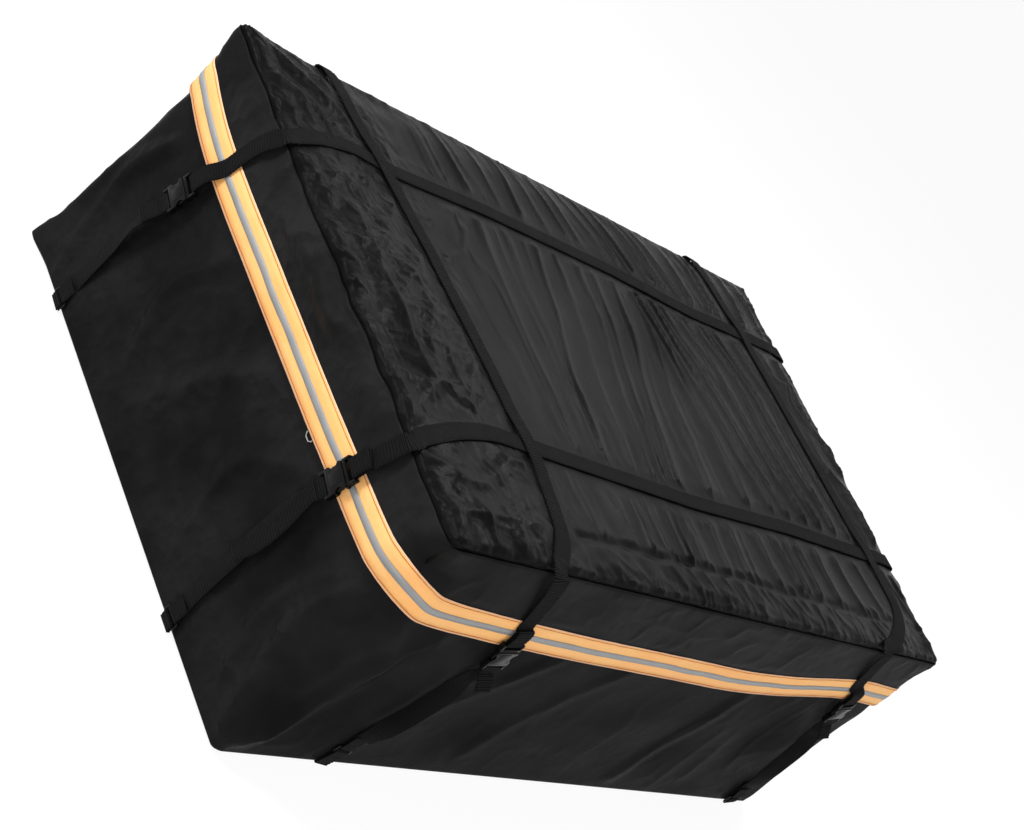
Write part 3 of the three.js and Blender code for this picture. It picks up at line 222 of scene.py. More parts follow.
def nylon(name, shade, shine, roughness, crinkled):
    """crinkled gives how crinkled the cloth is, from 0 to 1, from the finish and the cloth's own map."""
    finish = Finish(name, roughness, Specular_IOR_Level=shine)
    place = finish.cloth_map()
    solid = finish.solid()
    weave = bands(finish, place, "X", THREAD) * bands(finish, place, "Y", THREAD)
    soft = finish.noise(7.0, 3.0, solid, Roughness=0.6)
    fine = finish.noise(70.0, 4.0, solid, Roughness=0.65)
    tone = finish.mix(soft.above(0.36, 0.26), grey(shade * 0.68), grey(shade * 1.36))
    finish.give("Base Color", finish.mix(weave * 0.5, tone, grey(shade * 1.5)))
    finish.give("Roughness", soft * 0.16 + fine * 0.12 + (roughness - 0.14))
    broad, small = (facets(finish, solid, scale, bend) * depth for scale, bend, depth in FACETS)
    patchy = soft.above(0.38, 0.25) * 0.6 + 0.4
    height = weave * 0.05 + fine * 0.08 + (broad + small) * patchy * crinkled(finish, place)
    finish.bump(height, NYLON_RELIEF)
    return finish.material


HALF_LENGTH = 0.6
HALF_WIDTH_OF_TOP = 0.4
LEFT_END_FROM = 0.34
LEFT_WALL = (3.15, 3.95)


def top_crinkled(finish, place):
    """The top is crinkled at its left end and beside its seams."""
    x, y = (finish.node("SeparateXYZ", out=i, Vector=place) for i in (0, 1))
    left = (x * -1.0).above(LEFT_END_FROM, 0.09)
    to_end, to_side = HALF_LENGTH - x.math("ABSOLUTE"), HALF_WIDTH_OF_TOP - y.math("ABSOLUTE")
    by_seam = 1 - to_end.math("MINIMUM", to_side).above(0.015, 0.035)
    return left.math("MAXIMUM", by_seam * 0.6) * 0.95 + 0.05


def left_crinkled(finish, place):
    """Flap and walls are crinkled on the left wall, whose place round the bag is given in metres."""
    round_bag = finish.node("SeparateXYZ", out=0, Vector=place)
    start, end = (round_bag.above(edge, 0.1) for edge in LEFT_WALL)
    return (start - end) * 0.85 + 0.15


# Top, walls and flap are one cloth. Their base colours differ only as painted light and shade: the top, which
# faces the lamps, is painted darker, and the walls and the flap, which the lamps light less, are painted
# lighter.
TOP_NYLON = nylon("top_nylon", 0.0048, 0.0205, 0.23, top_crinkled)
WALL_NYLON = nylon("wall_nylon", 0.01, 0.004, 0.24, left_crinkled)
FLAP_NYLON = nylon("flap_nylon", 0.0108, 0.012, 0.34, left_crinkled)
print("nylon finishes:", TOP_NYLON.name, WALL_NYLON.name, FLAP_NYLON.name)

# %% [markdown]
# ## Webbing, tape, plastic and metal
# Webbing is a ribbed weave: its ribs cross the strap and its edges are bound. The tape is orange satin with
# a silver stripe along its middle and a dark stitch near each edge. Each pattern follows the strap or the
# tape, so each is drawn on the map of its own grid, in metres along and across it. Plastic, enamel and
# thread have no direction, so noise on Object coordinates is enough for them.

# %% Make the webbing finish
RIB = 0.0045
WEBBING_THREAD = 0.0012


def webbing_finish():
    finish = Finish("webbing", 0.7, Specular_IOR_Level=0.045)
    place = finish.cloth_map()
    ribs = bands(finish, place, "X", RIB / 2)
    threads = bands(finish, place, "Y", WEBBING_THREAD / 2)
    wear = finish.noise(60.0, 3.0)
    finish.give("Base Color", finish.mix(ribs * 0.8 + threads * 0.2, grey(0.001), grey(0.018)))
    finish.give("Roughness", wear * 0.2 + 0.55)
    finish.bump(ribs + threads * 0.25, 0.0016)
    return finish.material


WEBBING = webbing_finish()
print("ribs of", WEBBING.name, "are", RIB * 1000, "mm apart")

# %% Make the tape and stripe finishes
SATIN_THREAD = 0.0011
TAPE_HEM_FROM = 0.0232
TAPE_ORANGE = (1.0, 0.49, 0.15, 1)
TAPE_PALER = (1.0, 0.56, 0.2, 1)
TAPE_THREAD = (0.98, 0.42, 0.11, 1)
TAPE_HEM = (1.0, 0.62, 0.5, 1)


def tape_finish():
    finish = Finish("orange_tape", 0.5, Specular_IOR_Level=0.45)
    place = finish.cloth_map()
    grain = bands(finish, place, "DIAGONAL", SATIN_THREAD / 2)
    blotch = finish.noise(14.0, 4.0)
    colour = finish.mix(blotch.above(0.35, 0.3), TAPE_ORANGE, TAPE_PALER)
    colour = finish.mix(grain * 0.25, colour, TAPE_THREAD)
    across = finish.node("SeparateXYZ", out=1, Vector=place)
    edge = across.math("ABSOLUTE").above(TAPE_HEM_FROM, 0.0004)
    finish.give("Base Color", finish.mix(edge * 0.7, colour, TAPE_HEM))
    finish.give("Roughness", blotch * 0.2 + 0.42)
    finish.bump(grain, 0.0004, 0.5)
    return finish.material


def silver_finish():
    finish = Finish("silver_stripe", 0.35, Metallic=0.0, Specular_IOR_Level=0.5)
    beads = finish.node("TexVoronoi", {"feature": "F1"}, Vector=finish.cloth_map(), Scale=900.0)
    cloud = finish.noise(30.0, 3.0)
    finish.give("Base Color", finish.mix(cloud, grey(0.2), grey(0.3)))
    finish.give("Roughness", cloud * 0.2 + 0.3)
    finish.bump(beads, 0.0003, 0.4)
    return finish.material


ORANGE = tape_finish()
SILVER = silver_finish()
print("tape finishes:", ORANGE.name, SILVER.name)


# %% Make the plastic, enamel and thread finishes
def plastic_finish(name, shade, roughness):
    finish = Finish(name, roughness, Specular_IOR_Level=0.1)
    grain = finish.noise(900.0, 2.0)
    cloud = finish.noise(45.0, 3.0)
    finish.give("Base Color", finish.mix(cloud, grey(shade * 0.8), grey(shade * 1.3)))
    finish.give("Roughness", cloud * 0.14 + grain * 0.08 + (roughness - 0.1))
    finish.bump(grain, 0.0002, 0.35)
    return finish.material


def thread_finish(name, colour):
    finish = Finish(name, 0.6, Specular_IOR_Level=0.3)
    twist = finish.noise(700.0, 2.0)
    dark = tuple(c * 0.6 for c in colour[:3]) + (1.0,)
    finish.give("Base Color", finish.mix(twist, dark, colour))
    finish.give("Roughness", twist * 0.2 + 0.5)
    finish.bump(twist, 0.0003, 0.6)
    return finish.material


BUCKLE = plastic_finish("buckle_plastic", 0.004, 0.22)
METAL = plastic_finish("slider_enamel", 0.02, 0.3)
PULL_CORD = thread_finish("pull_cord", (0.42, 0.42, 0.4, 1.0))
MAROON = thread_finish("maroon_thread", (0.55, 0.14, 0.04, 1.0))
ZIP_TAPE = thread_finish("zip_tape", (0.01, 0.01, 0.011, 1.0))
print("finishes of the small pieces:", BUCKLE.name, METAL.name, PULL_CORD.name, MAROON.name, ZIP_TAPE.name)

# %% [markdown]
# ## Folds from numbers
# Coated nylon that was folded small keeps soft hills, long creases and short crumples. A cloth simulation
# finds such folds by itself, but never where the photograph has them. So the main folds are listed one by
# one, and the lesser ones come from one noise that gives the same hills each time for the same seed.

# %% Noise for folds
SPREAD_X = 374761393
SPREAD_Y = 668265263
SPREAD_SEED = 974711
SPREAD_BITS = 1274126177
WORD = 0xFFFFFFFF
HALF_WORD = 0xFFFF


def smooth(t):
    t = np.clip(t, 0, 1)
    return t * t * (3 - 2 * t)


def scatter(ix, iy, seed):
    """A number from 0 to 1 for each whole place and seed, without any order."""
    h = (ix * SPREAD_X + iy * SPREAD_Y + seed * SPREAD_SEED) & WORD
    h = ((h ^ (h >> 13)) * SPREAD_BITS) & WORD
    return ((h ^ (h >> 16)) & HALF_WORD) / HALF_WORD


def waves(x, y, cell, seed):
    """Soft hills from -1 to 1, a cell in mm apart."""
    gx, gy = x / cell, y / cell
    ix, iy = np.floor(gx).astype(np.int64), np.floor(gy).astype(np.int64)
    fx, fy = smooth(gx - ix), smooth(gy - iy)
    low = scatter(ix, iy, seed) * (1 - fx) + scatter(ix + 1, iy, seed) * fx
    high = scatter(ix, iy + 1, seed) * (1 - fx) + scatter(ix + 1, iy + 1, seed) * fx
    return 2 * (low * (1 - fy) + high * fy) - 1


def crest(signal, power):
    """Thin ridges where a signal from -1 to 1 passes through 0."""
    return (1 - np.abs(signal)) ** power


def between(value, low, high, soft):
    """1 between two values, and softly 0 outside them."""
    return smooth((value - low) / soft) * smooth((high - value) / soft)


sample = waves(np.arange(0.0, 400.0), np.zeros(400), 50, 1)
print("fold noise from", round(float(sample.min()), 2), "to", round(float(sample.max()), 2))

# %% [markdown]
# ## The settled box
# Everything is drawn first on a true box of 1200 by 800 by 430 millimetres, and then each point moves with
# the box's corners, as cloth does when the luggage inside leans. A lattice modifier could do this, but a
# function does the same to any point, so straps and buckles can ask where the cloth is.

# %% Map the true box to the settled bag
LENGTH = 1200.0
WIDTH = 800.0
HEIGHT = 430.0
SEAM_HEIGHT = 424.0
SHIFT = np.array((0.296, 2.203, 0.0))
# Which corner, as signs of x, y and z, and how far it moves in mm
SLUMPS = (
    (-1, 1, 1, -1, 3, 4),
    (-1, -1, 1, -2, -1, -4),
    (1, -1, 1, -8, 11, -12),
    (1, 1, 1, 11, -15, 4),
    (-1, 1, -1, -15, 5, 0),
    (-1, -1, -1, 11, -3, 0),
    (1, -1, -1, 4, 1, 0),
)
# The far left corner stands out in small tips at the lid and at the base: place, reach and pull.
TIPS = (((-600, 400, 424), 110, (-5, 5, 5)), ((-600, 400, 0), 60, (-8, 6, 0)))
SWAY_REACH = 75
SWAY_END = 385
STRAPS_AT_LEFT_SEAM = (204, -261)


def left_edge_sway(points):
    """The left seam of the lid wanders, except where a strap holds it."""
    x, y, z = points.T
    near = smooth(1 - np.hypot(x + LENGTH / 2, z - SEAM_HEIGHT) / SWAY_REACH)
    free = smooth((SWAY_END - np.abs(y)) / 40)
    for strap in STRAPS_AT_LEFT_SEAM:
        free *= smooth((np.abs(y - strap) - 20) / 30)
    line = np.zeros(len(y))
    inward = waves(y, line + 4, 66, 91) * 5 + waves(y, line, 23, 92) * 1.8
    upward = waves(y, line + 8, 49, 93) * 4
    return np.stack([inward, line, upward], 1) * (near * free)[:, None]


def settle(points):
    """Millimetres on the true box to metres on the bag."""
    points = np.asarray(points, float).reshape(-1, 3)
    across = points / (LENGTH, WIDTH, HEIGHT) + (0.5, 0.5, 0)
    moved = points.copy()
    for sx, sy, sz, dx, dy, dz in SLUMPS:
        share = np.ones(len(points))
        for i, sign in enumerate((sx, sy, sz)):
            share *= across[:, i] if sign > 0 else 1 - across[:, i]
        moved += share[:, None] * (dx, dy, dz)
    moved += left_edge_sway(points)
    for tip, reach, pull in TIPS:
        near = smooth(1 - np.linalg.norm(points - tip, axis=1) / reach)
        moved += near[:, None] * pull
    return (moved + SHIFT) / 1000


def along(pairs, place):
    """Reads a curve that is listed as (place, value) pairs."""
    table = np.array(pairs, float)
    return np.interp(place, table[:, 0], table[:, 1])


print("corners that lean:", len(SLUMPS), "tips:", len(TIPS))

# %% Round the walls
ZIP_HEIGHT = 334.0
BAND_TOP = 380.0
SEAM_INSET = 1.2
BAND_CORNER_RADIUS = 62.0
BASE_CORNER_RADIUS = 14
SEAM_CORNER_RADIUS = 10
# Corners that the load fills more: the wall, the place of the corner on it and its radius
FULLER_CORNERS = (("left", WIDTH / 2, 26.0), ("front", LENGTH / 2, 36.0))
ROUND = 2 * (LENGTH + WIDTH)
WALL_STARTS = {"front": 0.0, "right": LENGTH, "back": LENGTH + WIDTH, "left": 2 * LENGTH + WIDTH}


def corner_radius(z, place):
    """The radius in mm of the bag's corners, smallest at the base and at the seam."""
    full = np.full(place.shape, BAND_CORNER_RADIUS)
    for wall, at, radius in FULLER_CORNERS:
        full = np.where(off(place, wall, at) < WIDTH / 2, radius, full)
    low = BASE_CORNER_RADIUS + (full - BASE_CORNER_RADIUS) * smooth(z / (ZIP_HEIGHT * 0.75))
    high = full + (SEAM_CORNER_RADIUS - full) * (z - BAND_TOP) / (SEAM_HEIGHT - BAND_TOP)
    return np.where(z > BAND_TOP, high, low)


def round_place(wall, at):
    """How far round the bag a place on a wall is: at is x on the front and back, y on the ends."""
    reach = (LENGTH if wall in ("front", "back") else WIDTH) / 2
    way = -1 if wall in ("back", "left") else 1
    return WALL_STARTS[wall] + reach + way * np.asarray(at, float)


def wall_point(place, z, out=0.0):
    """Points round the bag from their distance round it, height and distance off the wall, all in mm."""
    place = np.mod(np.asarray(place, float), ROUND)
    z = np.broadcast_to(np.asarray(z, float), place.shape)
    radius = corner_radius(z, place)
    points = np.zeros(place.shape + (3,))
    for wall, start in WALL_STARTS.items():
        ends = wall in ("right", "left")
        reach = (WIDTH if ends else LENGTH) / 2
        other = (LENGTH if ends else WIDTH) / 2
        here = (place >= start) & (place < start + 2 * reach)
        way = -1 if wall in ("back", "left") else 1
        facing = -1 if wall in ("front", "left") else 1
        at = way * (place - start - reach)
        from_corner = reach - np.abs(at)
        bend = np.clip(1 - from_corner / radius, 0, None) * (math.pi / 4)
        curved = from_corner < radius
        side = np.where(at < 0, -1.0, 1.0)
        first = np.where(curved, side * (reach - radius + (radius + out) * np.sin(bend)), at)
        second = facing * np.where(curved, other - radius + (radius + out) * np.cos(bend), other + out)
        pair = (second, first) if ends else (first, second)
        points[..., 0] = np.where(here, pair[0], points[..., 0])
        points[..., 1] = np.where(here, pair[1], points[..., 1])
    points[..., 2] = z
    return points


def off(place, wall, at):
    """How far a place round the bag is from another, the shorter way."""
    gap = np.mod(place - round_place(wall, at) + ROUND / 2, ROUND) - ROUND / 2
    return np.abs(gap)


# The grids that run round the bag begin and end at the far corner, and their folds fade out there.
JOIN = LENGTH + WIDTH


def join_fade(place):
    return smooth(np.minimum(place - JOIN, JOIN + ROUND - place) / 45)


print("round the bag:", ROUND, "mm")

# %% [markdown]
# ## Cloth from a grid
# Every cloth part is one grid of small squares. It could be cut from a block or drawn by hand, but a grid
# from bmesh brings its own map, which follows the cloth as threads do. Its corners are then moved to where
# the cloth lies, and a part that runs round the bag has its two ends merged.

# %% Make cloth
def link(name, mesh, material):
    piece = bpy.data.objects.new(name, mesh)
    bpy.context.scene.collection.objects.link(piece)
    mesh.materials.append(material)
    return piece


def cloth(name, columns, rows, place, material, closed=False, finish=None):
    """A grid at the given columns and rows in mm, put in place by place(column, row)."""
    bm = bmesh.new()
    bm.loops.layers.uv.new("cloth")
    bmesh.ops.create_grid(bm, x_segments=len(columns) - 1, y_segments=len(rows) - 1, size=1, calc_uvs=True)
    mesh = bpy.data.meshes.new(name)
    bm.to_mesh(mesh)
    bm.free()
    count = len(mesh.vertices)
    flat = np.zeros(count * 3, np.float32)
    mesh.vertices.foreach_get("co", flat)
    flat = flat.reshape(-1, 3)
    column = np.rint((flat[:, 0] + 1) / 2 * (len(columns) - 1)).astype(int)
    row = np.rint((flat[:, 1] + 1) / 2 * (len(rows) - 1)).astype(int)
    across, up = np.asarray(columns, float)[column], np.asarray(rows, float)[row]
    mesh.vertices.foreach_set("co", place(across, up).astype(np.float32).ravel())
    corners = np.zeros(len(mesh.loops), np.int32)
    mesh.loops.foreach_get("vertex_index", corners)
    chart = np.stack([across[corners], up[corners]], 1) / 1000
    mesh.uv_layers["cloth"].data.foreach_set("uv", chart.astype(np.float32).ravel())
    bm = bmesh.new()
    bm.from_mesh(mesh)
    if closed:
        bmesh.ops.remove_doubles(bm, verts=bm.verts, dist=1e-5)
    if finish:
        finish(bm)
    for face in bm.faces:
        face.smooth = True
    bm.to_mesh(mesh)
    bm.free()
    print(name, len(mesh.polygons), "faces")
    return link(name, mesh, material)


def thicken(piece, thickness):
    """Gives cloth its thickness in metres, inwards from the side that is seen."""
    solid = piece.modifiers.new("thickness", "SOLIDIFY")
    solid.thickness = thickness
    solid.offset = -1
    return piece


def settle_on(piece, body, slot, *nodes):
    """Says which body carries a piece and the solids that it stands for; the slot argument is not used."""
    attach(piece, body)
    if nodes:
        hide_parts(*nodes)
    return piece


print("cloth can be made")

# %% [markdown]
# ## Where the straps lie
# The straps press the cloth flat, so the folds need their lines before the cloth is made. Each line is
# listed where it was read off the bag: two run lengthwise and two across.

# %% Strap lines over the top
LENGTHWISE = {
    "rear": [(-600, 204), (-570, 212), (-535, 226), (-480, 235), (-400, 226), (-200, 238), (80, 240),
             (300, 228), (480, 235), (600, 236)],
    "front": [(-600, -261), (-570, -251), (-535, -238), (-500, -227), (-440, -216), (0, -222), (250, -212),
              (480, -214), (600, -208)],
}
CROSSWISE = {
    "left": [(-400, -411), (-385, -402), (-365, -389), (-335, -377), (-250, -368), (-100, -378), (0, -390),
             (100, -401), (200, -420), (300, -440), (400, -452)],
    "right": [(-400, 430), (-385, 452), (-365, 481), (-335, 512), (-300, 524), (-200, 510), (0, 493),
              (200, 472), (300, 452), (400, 430)],
}


def strap_distance(x, y):
    """How far a place on the top is from the middle of the nearest strap."""
    away = [np.abs(y - along(line, x)) for line in LENGTHWISE.values()]
    away += [np.abs(x - along(line, y)) for line in CROSSWISE.values()]
    return np.minimum.reduce(away)


print("straps over the top:", len(LENGTHWISE) + len(CROSSWISE))

# %% [markdown]
# ## The top
# Between the two crosswise straps the cloth is pulled into long folds that run from the back seam to a
# tuck near the front edge. By the left seam it is crumpled. A sculptor would push such folds in by hand.
# Here each long fold is a line with a height and each crumple a short path, so that one of them can be
# moved alone, and everything fades out at the seams and under the straps.

# %% List the long folds and the crumples
FOLD_LEVELS = (395, 260, 212, 100, -50, -190, -240, -335)
# Each long fold: its x at every level of y above, from the back to the front, and its height
LONG_FOLDS = (
    (-310, -290, -312, -328, -305, -302, -338, -330, 3),
    (-255, -228, -246, -250, -255, -252, -290, -277, 5),
    (-182, -162, -184, -190, -196, -196, -222, -216, 3),
    (-112, -112, -110, -134, -178, -194, -168, -172, 7),
    (-78, -48, -66, -80, -112, -128, -132, -130, 4),
    (-34, 4, -12, -20, -58, -76, -84, -84, 7),
    (0, 34, 28, 8, -22, -48, -42, -50, 5),
    (38, 100, 76, 56, 12, -22, 20, 8, 7),
    (84, 136, 128, 120, 86, 66, 70, 60, 8),
    (122, 168, 132, 156, 168, 172, 148, 148, 8),
    (172, 226, 176, 198, 222, 242, 198, 212, 7),
    (202, 254, 204, 242, 262, 288, 232, 232, 6),
    (234, 296, 262, 294, 310, 338, 264, 266, 7),
    (308, 332, 316, 346, 356, 384, 318, 324, 7),
    (364, 392, 352, 390, 412, 434, 378, 392, 7),
    (392, 416, 420, 452, 466, 482, 446, 464, 6),
)
# Each crumple: its path, its half width and its height
CRUMPLES = (
    (((-575, 120), (-540, 92), (-532, 10), (-522, -60), (-530, -150)), 24, 7),
    (((-556, 40), (-486, 84), (-436, 160), (-420, 178)), 20, 6),
    (((-596, 150), (-560, 150), (-520, 172), (-470, 178)), 18, 5),
    (((-510, -20), (-470, 20), (-436, 60)), 18, 5),
    (((-500, -130), (-474, -60), (-440, -10)), 18, 4),
    (((-570, 388), (-520, 330), (-470, 290), (-446, 270)), 18, 6),
    (((-530, 392), (-480, 340), (-448, 316)), 14, 5),
    (((-590, 320), (-545, 295), (-505, 262)), 16, 5),
    (((-460, -170), (-420, -110), (-404, -40)), 14, 3),
    (((-560, -290), (-500, -300), (-430, -250), (-396, -246)), 20, 5),
    (((-580, -350), (-500, -345), (-420, -340)), 16, 4),
    (((-545, -185), (-500, -160), (-470, -180)), 14, 4),
    (((-370, 150), (-320, 190), (-280, 214)), 13, 3),
    (((-362, 90), (-318, 120), (-290, 170)), 12, 3),
    (((545, 200), (556, 80), (600, -10)), 14, 6),
    (((505, 100), (540, 150), (552, 190)), 12, 4),
    (((520, -20), (552, -90), (570, -180)), 14, 6),
    (((572, 20), (590, -60), (596, -150)), 12, 5),
    (((545, -240), (566, -300), (590, -335)), 12, 5),
    (((572, -240), (592, -290), (600, -330)), 10, 4),
    (((505, 380), (500, 300), (490, 262)), 12, 5),
    (((545, 385), (556, 320), (552, 262)), 12, 5),
)


def spot_between(p0, p1, p2, p3, t):
    """A spot on the smooth curve from p1 to p2, a share t of the way."""
    straight = 2 * p1 + (p2 - p0) * t
    bent = (2 * p0 - 5 * p1 + 4 * p2 - p3) * t * t
    return 0.5 * (straight + bent + (3 * p1 - p0 - 3 * p2 + p3) * t ** 3)


def with_ends(points):
    """The points with one more at each end, so that a smooth curve reaches the first and the last."""
    return np.vstack([2 * points[0] - points[1], points, 2 * points[-1] - points[-2]])


def curved(path):
    """A soft line through a few points, as more points."""
    points = np.array(path, float)
    ends = with_ends(points)
    line = []
    for four in zip(ends, ends[1:], ends[2:], ends[3:]):
        line += [tuple(spot_between(*four, t)) for t in (0.0, 0.25, 0.5, 0.75)]
    return line + [tuple(points[-1])]


def path_distance(path, x, y):
    least = np.full(x.shape, 1e9)
    for (ax, ay), (bx, by) in zip(path, path[1:]):
        dx, dy = bx - ax, by - ay
        share = np.clip(((x - ax) * dx + (y - ay) * dy) / (dx * dx + dy * dy), 0, 1)
        least = np.minimum(least, np.hypot(x - ax - share * dx, y - ay - share * dy))
    return least


SOFT_CRUMPLES = [(curved(path), wide, high) for path, wide, high in CRUMPLES]
print("long folds:", len(LONG_FOLDS), "crumples:", len(SOFT_CRUMPLES))

# %% Shape the long folds
FOLD_RISE = 0.86
# The power that sets how narrow a fold's ridge is and how flat the cloth hangs between two ridges
FOLD_SHARPNESS = 3.4
BESIDE_FOLDS = 45.0
TUCK = -342.0


def fold_course(x, y):
    """Where a place lies among the long folds: 2.5 is halfway from the third to the fourth."""
    lines = [along(sorted(zip(FOLD_LEVELS, places)), y) for *places, _ in LONG_FOLDS]
    course = (x - lines[0]) / BESIDE_FOLDS
    for i, line in enumerate(lines):
        gap = lines[i + 1] - line if i + 1 < len(lines) else BESIDE_FOLDS
        course = np.where(x >= line, i + (x - line) / gap, course)
    return course


def long_folds(x, y):
    """Cloth hung between the ridges of the long folds, with finer creases along them."""
    last = len(LONG_FOLDS) - 1
    course = fold_course(x + waves(x, y, 70, 5) * 4, y)
    before = np.clip(np.floor(course).astype(int), 0, last)
    share = np.clip(course - before, 0, 1)
    heights = []
    for i, (*_, high) in enumerate(LONG_FOLDS):
        swell = 0.85 + 0.45 * waves(y, np.full(x.shape, 40.0 * i), 100, 11)
        heights.append(high * swell)
    heights = np.stack(heights)
    spot = np.arange(len(x))
    after = np.minimum(before + 1, last)
    high = heights[before, spot] * (1 - share) + heights[after, spot] * share
    hung = high * np.abs(2 * share - 1) ** FOLD_SHARPNESS * FOLD_RISE
    lesser = crest(waves(course * 40, y * 0.09, 19, 12), 6) * (1.5 + 1.5 * waves(x, y, 90, 13))
    least = crest(waves(course * 40 + 9, y * 0.12, 10, 14), 5) * smooth(waves(x, y, 70, 15) + 0.6)
    pulled = between(course, -0.6, last + 0.8, 0.9)
    return (hung + lesser * 0.85 + least * 0.5) * pulled * smooth((y - TUCK) / 20)


print("folds run", round(WIDTH / 2 - TUCK), "mm from the back seam to the tuck")

# %% Shape the rest of the top
TUCK_START = -350.0
TUCK_DEPTH = 3.4
TUCK_HALF_WIDTH = 9
CRUMPLE_RISE = 1.2
LEFT_END = -350
RIGHT_EDGE = 470
STRAP_REACH = 14
CROWN = 5.0


def crumples(x, y, drift):
    """The short crumples: each is a hill along its path, and the highest hill counts."""
    height = np.zeros(x.shape)
    for path, wide, high in SOFT_CRUMPLES:
        away = path_distance(path, x + drift, y + drift)
        hill = np.clip(1 - away / (wide * 1.6), 0, 1) ** 2
        height = np.maximum(height, high * CRUMPLE_RISE * hill * (0.85 + 0.3 * waves(x, y, 50, 16)))
    return height


def front_strip(x, y):
    """Slanting wrinkles between the tuck and the front seam."""
    strip = between(y, -392, TUCK + 22, 14) * smooth((x + 360) / 60)
    slant = x + (y - TUCK) * 0.8
    return crest(waves(slant, y * 0.25, 17, 23), 3) * strip * (2.2 + 1.6 * waves(x, y, 60, 24))


def loose_cloth(x, y):
    """Hills and creases, which are higher at both ends, where no strap pulls the cloth tight."""
    loose = np.maximum(smooth((LEFT_END - x) / 90), smooth((x - RIGHT_EDGE) / 60) * 0.7)
    hills = waves(x, y, 95, 31) * (1.2 + 3.2 * loose) + waves(x, y, 52, 32) * (0.3 + 1.5 * loose)
    creases = crest(waves(x, y, 62, 33), 8) * 2.6 + crest(waves(x, y, 34, 34), 6) * 1.5
    return hills + (creases + crest(waves(x + y * 0.4, y, 19, 36), 5) * 0.8) * loose


def relief(x, y):
    """Height of the top over its flat level, in mm."""
    to_edge = np.minimum(LENGTH / 2 - np.abs(x), WIDTH / 2 - np.abs(y))
    to_strap = strap_distance(x, y)
    drift = waves(x, y, 80, 5) * 9 + waves(x, y, 33, 6) * 3
    height = np.maximum(long_folds(x, y), crumples(x, y, drift))
    tuck = TUCK_DEPTH * np.clip(1 - np.abs(y + drift * 0.5 - TUCK) / TUCK_HALF_WIDTH, 0, 1)
    height -= np.where(x > TUCK_START, tuck, 0)
    height += front_strip(x, y) + loose_cloth(x, y)
    beside = between(to_strap, STRAP_REACH - 1, 44, 10)
    height += crest(waves(x * 1.3 + y * 0.4, y - x * 0.3, 15, 35), 3) * beside * 0.9
    free = 0.1 + 0.9 * smooth((to_strap - STRAP_REACH) / 26)
    held = smooth(to_edge / 22) * (0.45 + 0.55 * smooth((WIDTH / 2 - y) / 90))
    return height * free * held + CROWN * smooth(to_edge / 60)


def seam_puckers(place):
    """Small gathers that stitching pulls into cloth beside a seam, with a few deeper ones."""
    along_seam = np.full(place.shape, 3.0)
    small = waves(place, along_seam, 9, 41) * 0.5
    return small + waves(place, along_seam, 23, 42) + crest(waves(place, along_seam, 41, 43), 4) * 1.2


relief_at_middle = float(relief(np.zeros(1), np.zeros(1))[0])
print("relief in the middle of the top:", round(relief_at_middle, 1), "mm")

# %% Make the top
TOP_STEP = 3.2
EDGE_RADIUS = 8
RIM_DROP = 5.0
RIM_INSET = 2.0
GROOVE_INSET = 24.0


def top_place(x, y):
    """Where the cloth of the top lies, with the gathers that its seam pulls into it."""
    to_x, to_y = LENGTH / 2 - np.abs(x), WIDTH / 2 - np.abs(y)
    to_edge = np.minimum(to_x, to_y)
    by_end, by_back = to_x < to_y, (to_y < to_x) & (y > 0)
    left_end = by_end & (x < 0)
    roll = np.sqrt(np.clip(1 - (1 - np.clip(to_edge / EDGE_RADIUS, 0, 1)) ** 2, 0, 1))
    flat = np.stack([x, y, SEAM_HEIGHT + (HEIGHT - SEAM_HEIGHT) * roll + relief(x, y)], 1)
    quiet = smooth((strap_distance(x, y) - STRAP_REACH) / 20) * np.where(by_back, 0.45, 1.0)
    gathers = seam_puckers(np.where(by_end, y + to_x * 0.4, x + to_y * 0.3))
    deep, reach = np.where(left_end, 2.6, 1.2), np.where(left_end, 42, 26)
    flat[:, 2] += gathers * deep * smooth(1 - to_edge / reach) * smooth(to_edge / 7) * quiet
    flat[:, 2] += between(to_x, 3, 40, 15) * (x < 0) * (2.5 + 2.5 * waves(y, to_x, 60, 44)) * quiet
    seam = np.where(by_end, y, x)
    short = crest(waves(seam, to_edge * 0.22, 12, 45), 3) + crest(waves(seam, to_edge * 0.3, 27, 46), 4)
    flat[:, 2] += short * 1.5 * smooth(1 - to_edge / 48) * smooth(to_edge / 5) * quiet
    inset = SEAM_INSET * smooth(1 - to_edge / 16)
    flat[:, 0] -= np.sign(x) * inset * (to_x < 16)
    flat[:, 1] -= np.sign(y) * inset * (to_y < 16)
    return settle(flat)


def lid_wall(bm):
    """Turns the rim of the top down behind the flap and closes it underneath."""
    rim = [edge for edge in bm.edges if edge.is_boundary]
    to_zip = SEAM_HEIGHT - RIM_DROP - ZIP_HEIGHT - 1
    for drop, inward in ((RIM_DROP, RIM_INSET), (to_zip, GROOVE_INSET)):
        made = bmesh.ops.extrude_edge_only(bm, edges=rim)["geom"]
        verts = [g for g in made if isinstance(g, bmesh.types.BMVert)]
        shares = (1 - 2 * inward / LENGTH, 1 - 2 * inward / WIDTH, 1)
        bmesh.ops.scale(bm, verts=verts, vec=shares)
        bmesh.ops.translate(bm, verts=verts, vec=(0, 0, -drop / 1000))
        rim = [g for g in made if isinstance(g, bmesh.types.BMEdge) and g.is_boundary]
    bmesh.ops.holes_fill(bm, edges=rim, sides=0)


columns = np.linspace(-LENGTH / 2, LENGTH / 2, int(LENGTH / TOP_STEP))
rows = np.linspace(-WIDTH / 2, WIDTH / 2, int(WIDTH / TOP_STEP))
top = cloth("top_panel", columns, rows, top_place, TOP_NYLON, finish=lid_wall)
settle_on(top, "bag", "coated_nylon", "top_cover")
